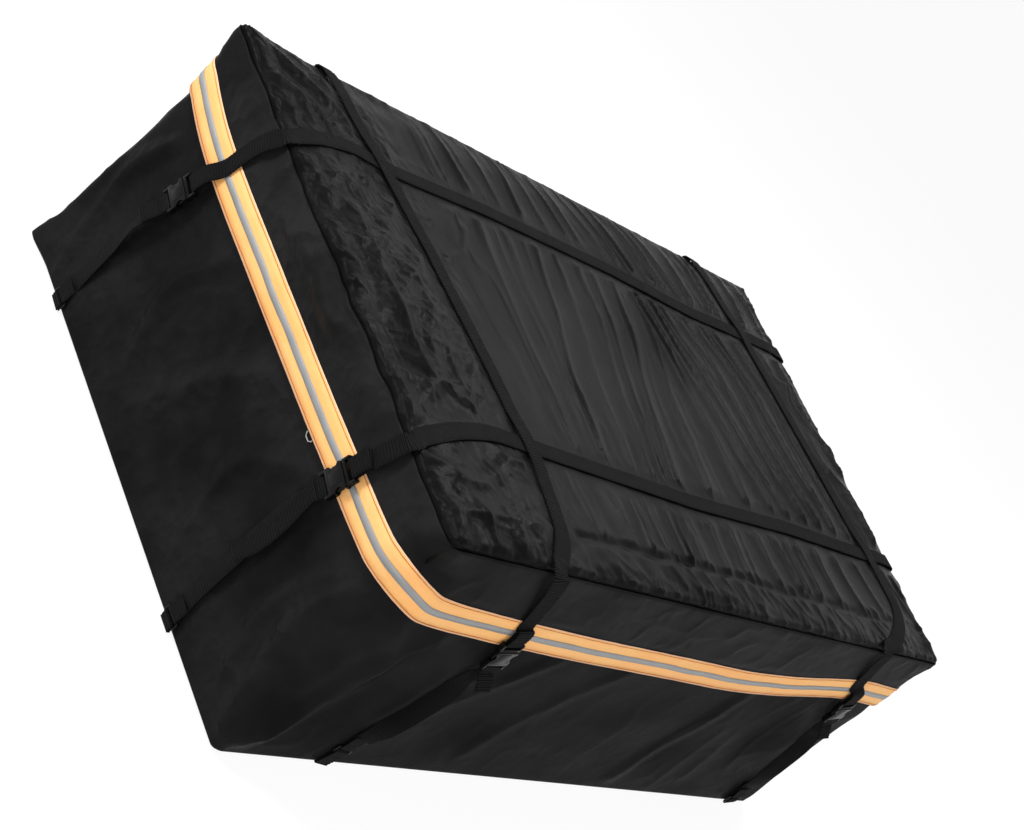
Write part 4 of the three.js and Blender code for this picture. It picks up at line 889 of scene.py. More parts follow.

# %% [markdown]
# ## The walls
# The walls hang under the zip, and the luggage makes soft hollows in them. Each wall could be a grid of its
# own, but then its folds would stop at the corners. So one grid runs round all four walls, from the base to
# the groove that holds the zip, and each hollow and long fold is laid on it one by one.

# %% List the hollows and folds of the walls
# For each wall its hollows: place, middle height, half width, half height and depth
HOLLOWS = {
    "left": ((-300, 190, 60, 130, 7), (-130, 120, 80, 90, 6), (0, 220, 90, 80, 5), (110, 90, 90, 70, 6),
             (190, 230, 60, 80, 6), (340, 150, 60, 110, 6)),
    "front": ((-500, 150, 70, 130, 7), (-260, 120, 120, 110, 5), (0, 210, 110, 90, 5), (190, 110, 100, 90, 5),
              (380, 190, 80, 110, 6)),
    "back": ((-330, 170, 130, 120, 6), (60, 130, 130, 110, 6), (390, 190, 90, 120, 5)),
    "right": ((-220, 160, 90, 120, 6), (60, 200, 100, 110, 6)),
}
# Long slanting folds of the walls: the wall, the path as (place, height), the half width and the height
WALL_FOLDS = (
    ("front", ((-560, 300), (-500, 190), (-560, 60)), 34, 5),
    ("front", ((-470, 290), (-520, 170), (-575, 30)), 30, 3),
    ("front", ((-230, 275), (-300, 190), (-390, 70)), 28, 2),
    ("front", ((-60, 290), (-150, 170), (-190, 60)), 26, 1.2),
    ("front", ((230, 270), (205, 160), (170, 40)), 28, 2),
    ("front", ((360, 280), (330, 180), (340, 60)), 24, 1.2),
    ("left", ((-390, 320), (-340, 200), (-385, 40)), 34, 6),
    ("left", ((-330, 280), (-300, 160), (-330, 70)), 22, 4),
    ("left", ((-180, 270), (-120, 180), (-150, 60)), 26, 4),
    ("left", ((-60, 290), (0, 200), (60, 60)), 30, 4),
    ("left", ((110, 300), (160, 190), (120, 80)), 26, 4),
    ("left", ((330, 280), (360, 180), (330, 60)), 24, 5),
    ("back", ((-300, 280), (-240, 150), (-300, 40)), 28, 5),
    ("back", ((150, 290), (220, 160), (180, 40)), 28, 5),
    ("right", ((-60, 280), (-120, 160), (-80, 40)), 26, 5),
    ("right", ((150, 280), (120, 160), (170, 60)), 26, 4),
)
print("hollows:", sum(len(wall) for wall in HOLLOWS.values()), "wall folds:", len(WALL_FOLDS))

# %% Make the walls
WALL_STEP = 5.0
WALL_ROWS = 62
GROOVE = 7.0
GROOVE_DEPTH = 9.0
BASE_ROLL = 6
FRONT_CALM = 0.6
FRONT_REACH = 520


def wall_relief(place, z):
    """How far the walls stand out, in mm: hollows, hills, creases and the long folds."""
    depth = np.zeros(place.shape)
    for wall, hollows in HOLLOWS.items():
        for at, middle, wide, high, deep in hollows:
            away = np.hypot(off(place, wall, at) / wide, (z - middle) / high)
            depth = np.maximum(depth, deep * smooth(1 - away))
    under_hem = smooth((ZIP_HEIGHT - GROOVE - 12 - z) / 44)
    fade = smooth(z / 40) * under_hem * join_fade(place)
    folds = waves(place, z, 150, 53) * 3.5 + waves(place, z * 0.8, 70, 54) * 1.6
    folds += crest(waves(place, z * 0.7, 110, 51), 6) * 3 + crest(waves(place, z, 55, 52), 7) * 1.2
    folds *= 1 - FRONT_CALM * smooth(1.4 - off(place, "front", 0) / FRONT_REACH)
    for wall, path, wide, high in WALL_FOLDS:
        low = [(float(round_place(wall, at)), height) for at, height in curved(path)]
        away = path_distance(low, place % ROUND, z) / wide
        folds += high * (1.5 * smooth(1 - away) + 0.4 * np.clip(1 - away * 3, 0, 1) ** 1.5)
    return -depth + folds * fade


def wall_place(place, z):
    groove = ZIP_HEIGHT - GROOVE
    out = wall_relief(place, z)
    out = np.where(z > groove, -GROOVE_DEPTH, out)
    out = np.where(z < BASE_ROLL, out - (BASE_ROLL - z), out)
    return settle(wall_point(place, z, out))


def cap_ends(bm):
    bmesh.ops.holes_fill(bm, edges=[edge for edge in bm.edges if edge.is_boundary], sides=0)


def round_columns(step):
    """Columns of a grid that runs once round the bag."""
    return np.linspace(JOIN, JOIN + ROUND, int(ROUND / step))


# Rows close up where the cloth turns: at the base, and where it steps into the groove
columns = round_columns(WALL_STEP)
rows = np.concatenate([[0, 1, 3, BASE_ROLL], np.linspace(10, 325, WALL_ROWS), [327, 327.01, 333.8]])
walls = cloth("wall_shell", columns, rows, wall_place, WALL_NYLON, closed=True, finish=cap_ends)
settle_on(walls, "bag", "coated_nylon", "bag_body")

# %% [markdown]
# ## The flap and its tape
# A flap sewn under the top seam hangs over the zip. Its hem carries the orange tape, whose line wanders up
# and down with the load. Drawn apart, tape and flap would soon cut into each other. They are drawn from one
# line, so the tape stays on its hem.

# %% Line of the tape
TAPE_WIDTH = 49.0
# The height of the tape's middle at places on each wall
TAPE_LINE = {
    "front": [(-600, 342), (-560, 330), (-520, 322), (-380, 314), (-220, 309), (0, 307), (160, 304),
              (280, 312), (400, 329), (460, 336), (600, 329)],
    "right": [(-400, 329), (-150, 322), (150, 330), (400, 336)],
    "back": [(-600, 352), (-350, 334), (0, 326), (350, 330), (600, 336)],
    "left": [(-400, 342), (-330, 336), (-150, 331), (200, 329), (300, 333), (400, 352)],
}
round_line = sorted(
    (float(round_place(wall, at)), height) for wall, line in TAPE_LINE.items() for at, height in line
)
EVEN_STEPS = (-36, -18, 0, 18, 36)


def tape_height(place):
    """Height of the tape's middle, evened out over a hand's width of the line."""
    table = np.array(round_line).T
    near = [np.interp(np.mod(place + step, ROUND), *table, period=ROUND) for step in EVEN_STEPS]
    return sum(near) / len(EVEN_STEPS)


low, high = min(height for _, height in round_line), max(height for _, height in round_line)
print("tape's middle runs from", low, "to", high, "mm over the ground")

# %% Make the flap
STRAPS_ON_WALLS = {"left": (218, -258), "right": (237, -208), "front": (-392, 432), "back": (-454, 430)}
FLAP_THICKNESS = 1.5
HEM_STANDOFF = 3.6
SEAM_STANDOFF = 0.6
LEFT_WALL_REACH = 430
ROLL_DEEP = 52
FLAP_ROWS = 30
FLAP_STEP = 3.4
FLAP_DEEP = 118.0
FLAP_INSET = 0.8


def strap_distance_on_wall(place):
    away = [off(place, wall, at) for wall, ats in STRAPS_ON_WALLS.items() for at in ats]
    return np.minimum.reduce(away)


def flap_standoff(z):
    """Inner side of the flap off the wall: it lies close at the seam and stands off at the hem."""
    low = ZIP_HEIGHT + GROOVE
    share = np.clip((z - low) / (SEAM_HEIGHT - 2 - low), 0, 1)
    return HEM_STANDOFF + (SEAM_STANDOFF - HEM_STANDOFF) * share


def flap_outer(place, z):
    """Outer side of the flap off the wall, with slack folds over the tape and a roll under the seam."""
    clear = smooth((strap_distance_on_wall(place) - 24) / 36) * join_fade(place)
    above = smooth((z - tape_height(place) - TAPE_WIDTH / 2) / 14)
    below = smooth((SEAM_HEIGHT - 1 - z) / 10)
    end_wall = smooth(1 - off(place, "left", 0) / LEFT_WALL_REACH)
    slack = np.maximum(waves(place, z * 0.8, 58, 62), -0.2) * (1.4 + 5.0 * end_wall)
    slack += crest(waves(place, z * 1.3, 47, 61), 4) * (1.2 + 2.6 * end_wall)
    slack += crest(waves(place + z * 0.7, z, 24, 63), 4) * (0.5 + 1.2 * end_wall)
    slack += seam_puckers(place + z * 0.4) * smooth((z - SEAM_HEIGHT + 30) / 24) * (0.8 + end_wall)
    roll = 8 + 7 * waves(place, z * 0.3, 64, 64)
    roll *= between(z, SEAM_HEIGHT - ROLL_DEEP, SEAM_HEIGHT, ROLL_DEEP / 2) * end_wall
    folds = np.maximum(slack * clear * above * below, 0)
    return flap_standoff(z) + FLAP_THICKNESS + folds + roll * clear


def flap_place(place, up):
    """Where the flap's cloth lies, from a place round the bag and how far up the flap it is."""
    hem = tape_height(place) - TAPE_WIDTH / 2 - 1.5
    z = hem + (SEAM_HEIGHT - FLAP_INSET - hem) * up / FLAP_DEEP
    return settle(wall_point(place, z, flap_outer(place, z)))


rows = np.linspace(0, FLAP_DEEP, FLAP_ROWS)
flap = cloth("zip_flap", round_columns(FLAP_STEP), rows, flap_place, FLAP_NYLON, closed=True)
thicken(flap, FLAP_THICKNESS / 1000)
settle_on(flap, "bag", "coated_nylon", "side_flap")

# %% Make the tape, its stripe and its stitches
BAND_STEP = 4.0
TAPE_LIFT = 1.1
STRIPE_HALF = 5
STRIPE_LIFT = 1.7
STITCH_HALF = 0.35
STITCH_LIFT = 1.55
STITCH_INSET = 3.5


def band(name, material, low, high, lift, thickness, count=5, sway=0.0):
    """A band round the flap between two heights from the tape's middle, in mm, which may wander a little."""

    def place_band(place, across):
        wander = sway * waves(place, np.full(place.shape, 1.0), 55, 71) * join_fade(place)
        z = tape_height(place) + across + wander
        uneven = 0.25 * waves(place, across * 3, 16, 72) * join_fade(place)
        return settle(wall_point(place, z, flap_standoff(z) + FLAP_THICKNESS + lift + uneven))

    rows = np.linspace(low, high, count)
    strip = cloth(name, round_columns(BAND_STEP), rows, place_band, material, closed=True)
    return thicken(strip, thickness)


tape = band("hem_tape", ORANGE, -TAPE_WIDTH / 2, TAPE_WIDTH / 2, TAPE_LIFT, 0.0006)
settle_on(tape, "bag", "orange_tape", "reflective_tape")
stripe = band("tape_stripe", SILVER, -STRIPE_HALF, STRIPE_HALF, STRIPE_LIFT, 0.0003, count=3, sway=0.9)
settle_on(stripe, "bag", "silver_reflector", "reflective_stripe")
for name, across in (("low", -TAPE_WIDTH / 2 + STITCH_INSET), ("high", TAPE_WIDTH / 2 - STITCH_INSET)):
    low, high = across - STITCH_HALF, across + STITCH_HALF
    stitch = band(f"tape_stitch_{name}", MAROON, low, high, STITCH_LIFT, 0.0005, count=2, sway=0.5)
    settle_on(stitch, "bag", "orange_tape")

# %% [markdown]
# ## Places on the walls for straps and buckles
# Each strap ends on two walls. There it drops over the flap to its buckle, and below the buckle a slack
# lower strap goes to a ring by the base. The lists give these places as they were read off the bag, and
# a small frame stands on the settled wall at each buckle and ring: x across, y up, z away from the bag.

# %% List the strap ends
BUCKLE_LIFT = 7.3
RING_LIFT = -1.0
BUCKLE_THICKNESS = 10.0
# For each end: buckle and ring as (place, height, lean in degrees), drop as (place, height, off the wall),
# tail as (across, down, off the buckle) and slack as (place, height, off the wall, twist in degrees)
ENDS = {
    "rear_left": {"wall": "left", "buckle": (249, 270, 10), "ring": (275, 14, 3),
                  "drop": [(203, 424, 8), (211, 408, 10), (220, 388, 9), (227, 360, 8), (232, 332, 8)],
                  "tail": [(0, 20, 4), (-4, 44, 7)],
                  "slack": [(258, 214, 12, 0), (268, 180, 14, 25), (272, 120, 8, 12), (274, 60, 6, 0)]},
    "rear_right": {"wall": "right", "buckle": (240, 272, 1), "ring": (244, 16, 1),
                   "drop": [(236, 422, 5), (237, 395, 9), (238, 355, 8), (239, 330, 8)],
                   "tail": [(0, 20, 5), (3, 60, 9)],
                   "slack": [(241, 205, 10, 0), (243, 120, 9, 6), (244, 60, 6, 0)]},
    "front_left": {"wall": "left", "buckle": (-244, 338, 9), "ring": (-226, 16, 0),
                   "drop": [(-264, 424, 8), (-261, 408, 10), (-257, 392, 10), (-254, 378, 9)],
                   "tail": [(0, 18, 5), (14, 60, 9), (19, 110, 9), (12, 150, 8)],
                   "slack": [(-232, 272, 12, 0), (-226, 230, 10, 0), (-223, 150, 7, 0), (-224, 60, 6, 0)]},
    "front_right": {"wall": "right", "buckle": (-211, 318, -1), "ring": (-216, 16, 0),
                    "drop": [(-208, 422, 5), (-208, 395, 9), (-209, 370, 8)],
                    "tail": [(0, 20, 5), (-3, 70, 9)],
                    "slack": [(-213, 250, 10, 0), (-216, 150, 9, -8), (-216, 60, 6, 0)]},
    "left_front": {"wall": "front", "buckle": (-361, 290, 8), "ring": (-411, 40, -12),
                   "drop": [(-411, 424, 13), (-402, 409, 13), (-392, 390, 11), (-382, 368, 9),
                            (-374, 348, 8), (-368, 328, 8)],
                   "tail": [(0, 17, 6), (2, 32, 16)],
                   "slack": [(-366, 226, 11, 10), (-378, 190, 15, 55), (-392, 130, 14, 68),
                             (-404, 74, 9, 22)]},
    "left_back": {"wall": "back", "buckle": (-457, 330, -2), "ring": (-462, 18, 0),
                  "drop": [(-453, 422, 5), (-454, 400, 9), (-455, 382, 8)],
                  "tail": [(0, 20, 5), (2, 65, 9)],
                  "slack": [(-459, 262, 10, 0), (-461, 150, 9, 10), (-462, 60, 6, 0)]},
    "right_front": {"wall": "front", "buckle": (474, 298, 14), "ring": (538, 20, 12),
                    "drop": [(418, 424, 9), (422, 404, 9), (430, 385, 9), (440, 364, 8), (452, 342, 8)],
                    "tail": [(0, 17, 6), (1, 32, 15)],
                    "slack": [(489, 236, 11, 8), (503, 190, 14, 45), (518, 120, 12, 40), (530, 70, 8, 10)]},
    "right_back": {"wall": "back", "buckle": (432, 318, 0), "ring": (436, 18, 0),
                   "drop": [(429, 422, 5), (430, 400, 9), (431, 372, 8)],
                   "tail": [(0, 20, 5), (-2, 60, 9)],
                   "slack": [(434, 250, 10, 0), (436, 150, 9, -10), (436, 60, 6, 0)]},
}
FACING = {"front": (0, -1, 0), "right": (1, 0, 0), "back": (0, 1, 0), "left": (-1, 0, 0)}
print("strap ends:", ", ".join(ENDS))


# %% Stand a frame on a wall
NUDGE = 10


def unit(v):
    return v / np.linalg.norm(v)


def wall_spot(wall, at, z, out):
    return wall_point([float(round_place(wall, at))], [z], np.array([out]))[0]


def seat(wall, at, z, lean, out):
    """The frame of a buckle or ring, as a matrix in metres."""
    ends = wall in ("left", "right")
    sideways = np.array((0.0, 1.0, 0.0) if ends else (1.0, 0.0, 0.0))
    tilt = math.radians(lean)
    low = wall_spot(wall, at, z, out)
    up = np.array((0, 0, math.cos(tilt))) - sideways * math.sin(tilt)
    point = settle(low)[0]
    upward = unit(settle(low + up * NUDGE)[0] - point)
    level = settle(low + sideways * NUDGE)[0] - point
    normal = unit(np.cross(level, upward))
    if normal @ FACING[wall] < 0:
        normal = -normal
    across = np.cross(upward, normal)
    matrix = np.eye(4)
    matrix[:3, 0], matrix[:3, 1], matrix[:3, 2], matrix[:3, 3] = across, upward, normal, point
    return matrix


def in_frame(matrix, spot, facing):
    """A strap station in a frame: its place in mm, and the way its upper side faces as (up, out)."""
    point = matrix[:3, :3] @ (np.array(spot) / 1000) + matrix[:3, 3]
    return point, unit(matrix[:3, :3] @ np.array((0.0, *facing))), matrix[:3, 0]


def settled_station(low, facing):
    """A strap station from its place on the true box and the way its upper side faces there."""
    point = settle(low)[0]
    return point, unit(settle(low + np.array(facing) * NUDGE)[0] - point), None


def on_wall(wall, at, z, out, facing):
    return settled_station(wall_spot(wall, at, z, out), facing)


buckle_frames = {name: seat(end["wall"], *end["buckle"], BUCKLE_LIFT) for name, end in ENDS.items()}
ring_frames = {name: seat(end["wall"], *end["ring"], RING_LIFT) for name, end in ENDS.items()}
print("frames:", len(buckle_frames) + len(ring_frames))

# %% [markdown]
# ## Webbing straps
# A strap is a ribbon that is always 25 millimetres wide. It is drawn through its stations by a smooth curve
# and given a flat section with bound edges. A flat strip with a bump for the ribs would do from afar. Here
# the ribs are real ridges, so the edge shows small teeth where the strap turns, as webbing does.

# %% Draw curves through stations
def curve_through(points, step):
    """A smooth curve through the points, with a share of each interval for every sample."""
    points = np.array(points)
    ends = with_ends(points)
    spots, marks = [], []
    for i in range(1, len(ends) - 2):
        four = ends[i - 1: i + 3]
        count = max(2, int(round(np.linalg.norm(four[2] - four[1]) / step)))
        for t in np.arange(count) / count:
            spots.append(spot_between(*four, t))
            marks.append(i - 1 + t)
    return np.array(spots + [points[-1]]), np.array(marks + [len(points) - 1.0])


def curve_at(values, marks):
    """Values between the stations, with a soft turn at each."""
    before = np.minimum(marks.astype(int), len(values) - 2)
    share = smooth(marks - before)[:, None]
    return values[before] * (1 - share) + values[before + 1] * share


def to_length_one(vectors):
    return vectors / np.linalg.norm(vectors, axis=1)[:, None]


print("samples on a test curve:", len(curve_through([(0.0, 0.0), (1.0, 0.0), (1.0, 1.0)], 0.25)[1]))

# %% Make webbing
# The strap's section: across and up, in mm
SECTION = [(-12.5, 0.45), (-12.5, 1.05), (-12.1, 1.5), (-8, 1.55), (0, 1.55), (8, 1.55), (12.1, 1.5),
           (12.5, 1.05), (12.5, 0.45), (12.1, 0), (0, -0.05), (-12.1, 0)]


WEBBING_STEP = 0.00095
RIDGE = 0.24
EDGE_TOOTH = 1.4
SECTION_ROUND = 0.053


def across_strap(stations, twists):
    """The way across the strap at each station, square to its run and turned by its twist in degrees."""
    ahead = np.gradient(np.array([station[0] for station in stations]), axis=0)
    lines = []
    for run, (_, facing, level), twist in zip(ahead, stations, twists):
        turned = math.radians(twist)
        line = unit(np.cross(run, facing)) * math.cos(turned) - unit(facing) * math.sin(turned)
        lines.append(level * np.sign(line @ level) if level is not None else line)
    return np.array(lines)


def webbing_strap(name, stations, twists=None):
    """A strap whose underside runs through the stations, each a point and the way its upper side faces."""
    points, marks = curve_through([station[0] for station in stations], WEBBING_STEP)
    across = curve_at(across_strap(stations, np.zeros(len(stations)) if twists is None else twists), marks)
    normals = to_length_one(np.cross(across, to_length_one(np.gradient(points, axis=0))))
    across = to_length_one(across)
    run = np.concatenate([[0], np.cumsum(np.linalg.norm(np.diff(points, axis=0), axis=1))]) * 1000
    section = np.array(SECTION + SECTION[:1])

    def place_strap(column, row):
        i, j = column.astype(int), np.rint(row).astype(int)
        wide, high = section[j].T
        ridge = np.sin(run[i] / RIB / 1000 * 2 * math.pi) * RIDGE
        side = wide + np.sign(wide) * ridge * EDGE_TOOTH * (np.abs(wide) > 12)
        lift = high + np.where(high > 0.75, 1.0, -1.0) * ridge * (np.abs(wide) < 12.3)
        lift += 0.25 * waves(run[i], np.full(run[i].shape, 5.0), 40, 81)
        return points[i] + (across[i] * side[:, None] + normals[i] * lift[:, None]) / 1000

    def shut(bm):
        cap_ends(bm)
        bmesh.ops.recalc_face_normals(bm, faces=bm.faces)

    rows = np.arange(len(section))
    strap = cloth(name, np.arange(len(points)), rows, place_strap, WEBBING, closed=True, finish=shut)
    chart_strap(strap, run, len(section))
    return strap


def chart_strap(strap, run, rows):
    """Gives a strap its map in metres: along it, and round its section."""
    layer = strap.data.uv_layers["cloth"].data
    flat = np.zeros(len(layer) * 2, np.float32)
    layer.foreach_get("uv", flat)
    flat = flat.reshape(-1, 2)
    column = np.clip(np.rint(flat[:, 0] * 1000).astype(int), 0, len(run) - 1)
    flat[:, 0] = run[column] / 1000
    flat[:, 1] = flat[:, 1] * 1000 / rows * SECTION_ROUND
    layer.foreach_set("uv", flat.ravel())


print("webbing section has", len(SECTION), "corners")

# %% Turn webbing round a bar
BAR = 3.0
BAR_DEPTH = BUCKLE_THICKNESS / 2
BAR_CLEARANCE = BAR / 2 + 0.3
TURNS = (45, 90, 135)
SEWN_LENGTH = 24.0
MALE_BAR_UP = 12.0
FEMALE_BAR_UP = -34.0
RING_BAR_UP = 5.25


def loop_round(matrix, bar_up, direction, front_leg, back_leg):
    """Stations from the front leg, round the bar, to the back leg, which point up with 1 or down with -1."""
    reach = BAR_CLEARANCE * 1.1
    front, back = BAR_DEPTH + BAR_CLEARANCE, BAR_DEPTH - BAR_CLEARANCE
    path = [in_frame(matrix, (0, bar_up + direction * front_leg, front), (0, 1)),
            in_frame(matrix, (0, bar_up, front), (0, 1))]
    for turn in TURNS:
        angle = math.radians(turn)
        up, out = -direction * math.sin(angle), math.cos(angle)
        path.append(in_frame(matrix, (0, bar_up + up * reach, BAR_DEPTH + out * reach), (up, out)))
    path.append(in_frame(matrix, (0, bar_up, back), (0, -1)))
    path.append(in_frame(matrix, (0, bar_up + direction * back_leg, back), (0, -1)))
    return path


print("loop drawn through", 4 + len(TURNS), "stations")

# %% [markdown]
# ## The straps over the top
# Each of the four straps over the top ends in a buckle half on two walls. A strap could be shrinkwrapped
# onto the cloth, but it would sink into each small fold. Here it lies on the highest cloth under its width,
# and where two straps cross, the crosswise one lies over the lengthwise one.

# %% Lay the upper straps
EDGE_LIFT = 3.0
EDGE_ROUND = 14
STATION_GAP = 34
LEAST_LIFT = 0.7
CROSSING_LIFT = 2.6
CROSSING_REACH = 34
UNDER_ALONG = (-6.0, 0.0, 6.0)
UNDER_ACROSS = (-12.0, -6.0, 0.0, 6.0, 12.0)


def resting_height(x, y, across_y):
    """Highest cloth under a strap's width."""
    ahead, side = np.meshgrid(UNDER_ALONG, UNDER_ACROSS)
    dx, dy = (ahead, side) if across_y else (side, ahead)
    return HEIGHT + float(relief(x + dx.ravel(), y + dy.ravel()).max())


def strap_side(name):
    """Stations of a strap's end: round the bar of its buckle, up the wall and over the edge of the lid."""
    end = ENDS[name]
    wall, outward = end["wall"], FACING[end["wall"]]
    side = loop_round(buckle_frames[name], MALE_BAR_UP, 1, SEWN_LENGTH, SEWN_LENGTH)[::-1]
    for at, z, out in reversed(end["drop"]):
        side.append(on_wall(wall, at, z, out, outward))
    top_at, _, top_out = end["drop"][0]
    for turn in (30, 60):
        angle = math.radians(turn)
        out = (top_out + EDGE_ROUND) * math.cos(angle) - EDGE_ROUND
        low = wall_spot(wall, top_at, SEAM_HEIGHT, out)
        low[2] = SEAM_HEIGHT + (HEIGHT + EDGE_LIFT - SEAM_HEIGHT) * math.sin(angle)
        facing = np.array(outward) * math.cos(angle) + np.array((0, 0, math.sin(angle)))
        side.append(settled_station(low, facing))
    return side


def upper_strap(name, line, lengthwise, first, second):
    reach = (LENGTH if lengthwise else WIDTH) / 2 - EDGE_ROUND
    places = np.linspace(-reach, reach, int(2 * reach / STATION_GAP))
    over = []
    for i, place in enumerate(places):
        other = float(along(line, place))
        x, y = (place, other) if lengthwise else (other, place)
        ground = resting_height(x, y, lengthwise) + LEAST_LIFT
        if i in (0, len(places) - 1):
            ground = HEIGHT + EDGE_LIFT
        elif not lengthwise:
            near = min(abs(y - float(along(path, x))) for path in LENGTHWISE.values())
            ground += CROSSING_LIFT * float(smooth((CROSSING_REACH - near) / 14))
        over.append(settled_station(np.array((x, y, ground)), (0, 0, 1)))
    strap = webbing_strap(f"webbing_{name}", strap_side(first) + over + strap_side(second)[::-1])
    return settle_on(strap, "bag", "webbing", f"top_strap_{name}")


for name, line in LENGTHWISE.items():
    upper_strap(name, line, True, f"{name}_left", f"{name}_right")
for name, line in CROSSWISE.items():
    upper_strap(name, line, False, f"{name}_front", f"{name}_back")

# %% [markdown]
# ## The slack lower straps
# A lower strap starts with its loose tail in front, turns round the end bar of the buckle's socket, goes
# down and turns round the ring. When the buckle is pulled apart it gets slack. A rope of small bones could
# show that; here the strap is drawn once, as it hangs slack.

# %% Lay the lower straps and the ring tabs
FOOT_SHARE = 0.8
HALF_WEBBING = 0.0125
GROUND_GAP = 0.0015


def lower_strap(name):
    """Tail, buckle loop, slack part and ring loop, all one strap."""
    end = ENDS[name]
    matrix = buckle_frames[name]
    inward = tuple(-c for c in FACING[end["wall"]])
    tail = [in_frame(matrix, (across, FEMALE_BAR_UP - down, BAR_DEPTH + out), (0, 1))
            for across, down, out in reversed(end["tail"])]
    head = loop_round(matrix, FEMALE_BAR_UP, -1, SEWN_LENGTH / 2, SEWN_LENGTH / 2)
    slack = [on_wall(end["wall"], at, z, out, inward) for at, z, out, _ in end["slack"]]
    foot = loop_round(ring_frames[name], RING_BAR_UP, 1, SEWN_LENGTH, SEWN_LENGTH * FOOT_SHARE)[::-1]
    twists = np.zeros(len(tail) + len(head) + len(slack) + len(foot))
    for i, (*_, twist) in enumerate(end["slack"]):
        twists[len(tail) + len(head) + i] = twist
    strap = webbing_strap(f"slack_webbing_{name}", tail + head + slack + foot, twists)
    settle_on(strap, "bag", "webbing", f"lower_strap_{name}")
    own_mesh(strap)


def ring_tab(name):
    """A short piece of webbing from the base, round the ring and back, which ends just over the ground."""
    matrix = ring_frames[name]
    tilted = HALF_WEBBING * abs(matrix[2, 0])
    leg = (matrix[2, 3] - GROUND_GAP - tilted) / matrix[2, 1] * 1000 - RING_BAR_UP
    path = loop_round(matrix, -RING_BAR_UP, -1, leg, leg)
    sewn = max(BAR_DEPTH - BAR_CLEARANCE + 0.3, BAR_DEPTH + BAR_CLEARANCE - leg / 4)
    path[0] = in_frame(matrix, (0, -RING_BAR_UP - leg, sewn), (0, 1))
    settle_on(webbing_strap(f"tab_{name}", path), "bag", "webbing", f"ring_tab_{name}")


for name in ENDS:
    lower_strap(name)
    ring_tab(name)

# %% [markdown]
# ## Moulded buckles and rings
# A side-release buckle has a socket of two plates with thumb cut-outs, and a half whose two prongs spring
# out into them. Booleans could cut one solid, but slabs that are extruded from an outline and bevelled give
# cleaner edges, and the bright edges are what shows of so small a part.

# %% Slabs, blocks and bars
SHARP_SIDE = 0.35
SHARP_SHADING = 0.7


def slab(bm, outline, low, high, bevel=0.7, hole=None):
    """A plate with bevelled edges from an outline in mm, with an optional hole of as many corners."""
    verts = [bm.verts.new((x, y, low)) for x, y in outline]
    if hole:
        inner = [bm.verts.new((x, y, low)) for x, y in hole]
        loops = [bm.edges.new((ring[i - 1], ring[i])) for ring in (verts, inner) for i in range(len(ring))]
        faces = bmesh.ops.bridge_loops(bm, edges=loops)["faces"]
    else:
        faces = [bm.faces.new(verts)]
    made = bmesh.ops.extrude_face_region(bm, geom=faces)["geom"]
    top = [g for g in made if isinstance(g, bmesh.types.BMVert)]
    bmesh.ops.translate(bm, verts=top, vec=(0, 0, high - low))
    corners = top + verts + (inner if hole else [])
    sides = {edge for vert in corners for edge in vert.link_edges}
    bmesh.ops.recalc_face_normals(bm, faces=bm.faces)
    sharp = [edge for edge in sides if edge.is_manifold and edge.calc_face_angle() > SHARP_SIDE]
    bmesh.ops.bevel(bm, geom=sharp, offset=bevel, segments=2, profile=0.5, affect="EDGES", material=-1)


def rectangle(x, low, high, cut):
    """An outline of half width x between two heights, with its corners cut off."""
    return [(-x + cut, low), (x - cut, low), (x, low + cut), (x, high - cut),
            (x - cut, high), (-x + cut, high), (-x, high - cut), (-x, low + cut)]


def block(bm, low, high, bevel=0.6):
    corners = [(low[0], low[1]), (high[0], low[1]), (high[0], high[1]), (low[0], high[1])]
    slab(bm, corners, low[2], high[2], bevel)


def round_bar(bm, up, half_length):
    made = bmesh.ops.create_cone(bm, cap_ends=True, segments=16, radius1=BAR / 2, radius2=BAR / 2,
                                 depth=2 * half_length)
    bmesh.ops.rotate(bm, verts=made["verts"], matrix=Matrix.Rotation(math.pi / 2, 3, "Y"))
    bmesh.ops.translate(bm, verts=made["verts"], vec=(0, up, BAR_DEPTH))


def moulding(name, matrix, shape, material):
    """A piece that is shaped in mm in its own frame and then put in its place on the bag."""
    bm = bmesh.new()
    shape(bm)
    bmesh.ops.recalc_face_normals(bm, faces=bm.faces)
    place = Matrix(matrix.tolist()) @ Matrix.Scale(0.001, 4)
    bmesh.ops.transform(bm, verts=bm.verts, matrix=place)
    mesh = bpy.data.meshes.new(name)
    bm.to_mesh(mesh)
    bm.free()
    mesh.shade_smooth()
    mesh.set_sharp_from_angle(angle=SHARP_SHADING)
    return link(name, mesh, material)


print("bars are", BAR, "mm thick")

# %% Shape the socket
HALF_WIDTH = 17.0
SLOT_HALF = 13.4
POCKET = 24.0
SOCKET_LENGTH = 27.0
SHELL = 1.8
THUMB = (19.5, -12)
THUMB_RADIUS = 7
WAIST = (-4.5, -19.5)


def thumb_outline():
    """One plate of the socket, cut in at the waist for thumb and finger."""
    right = [(HALF_WIDTH - 1.5, 0.0), (HALF_WIDTH, -1.5), (HALF_WIDTH, WAIST[0])]
    for degrees in range(130, 231, 10):
        angle = math.radians(degrees)
        right.append((THUMB[0] + THUMB_RADIUS * math.cos(angle), THUMB[1] + THUMB_RADIUS * math.sin(angle)))
    right += [(HALF_WIDTH, WAIST[1]), (HALF_WIDTH, -SOCKET_LENGTH)]
    left = [(-x, y) for x, y in reversed(right)]
    return right + left


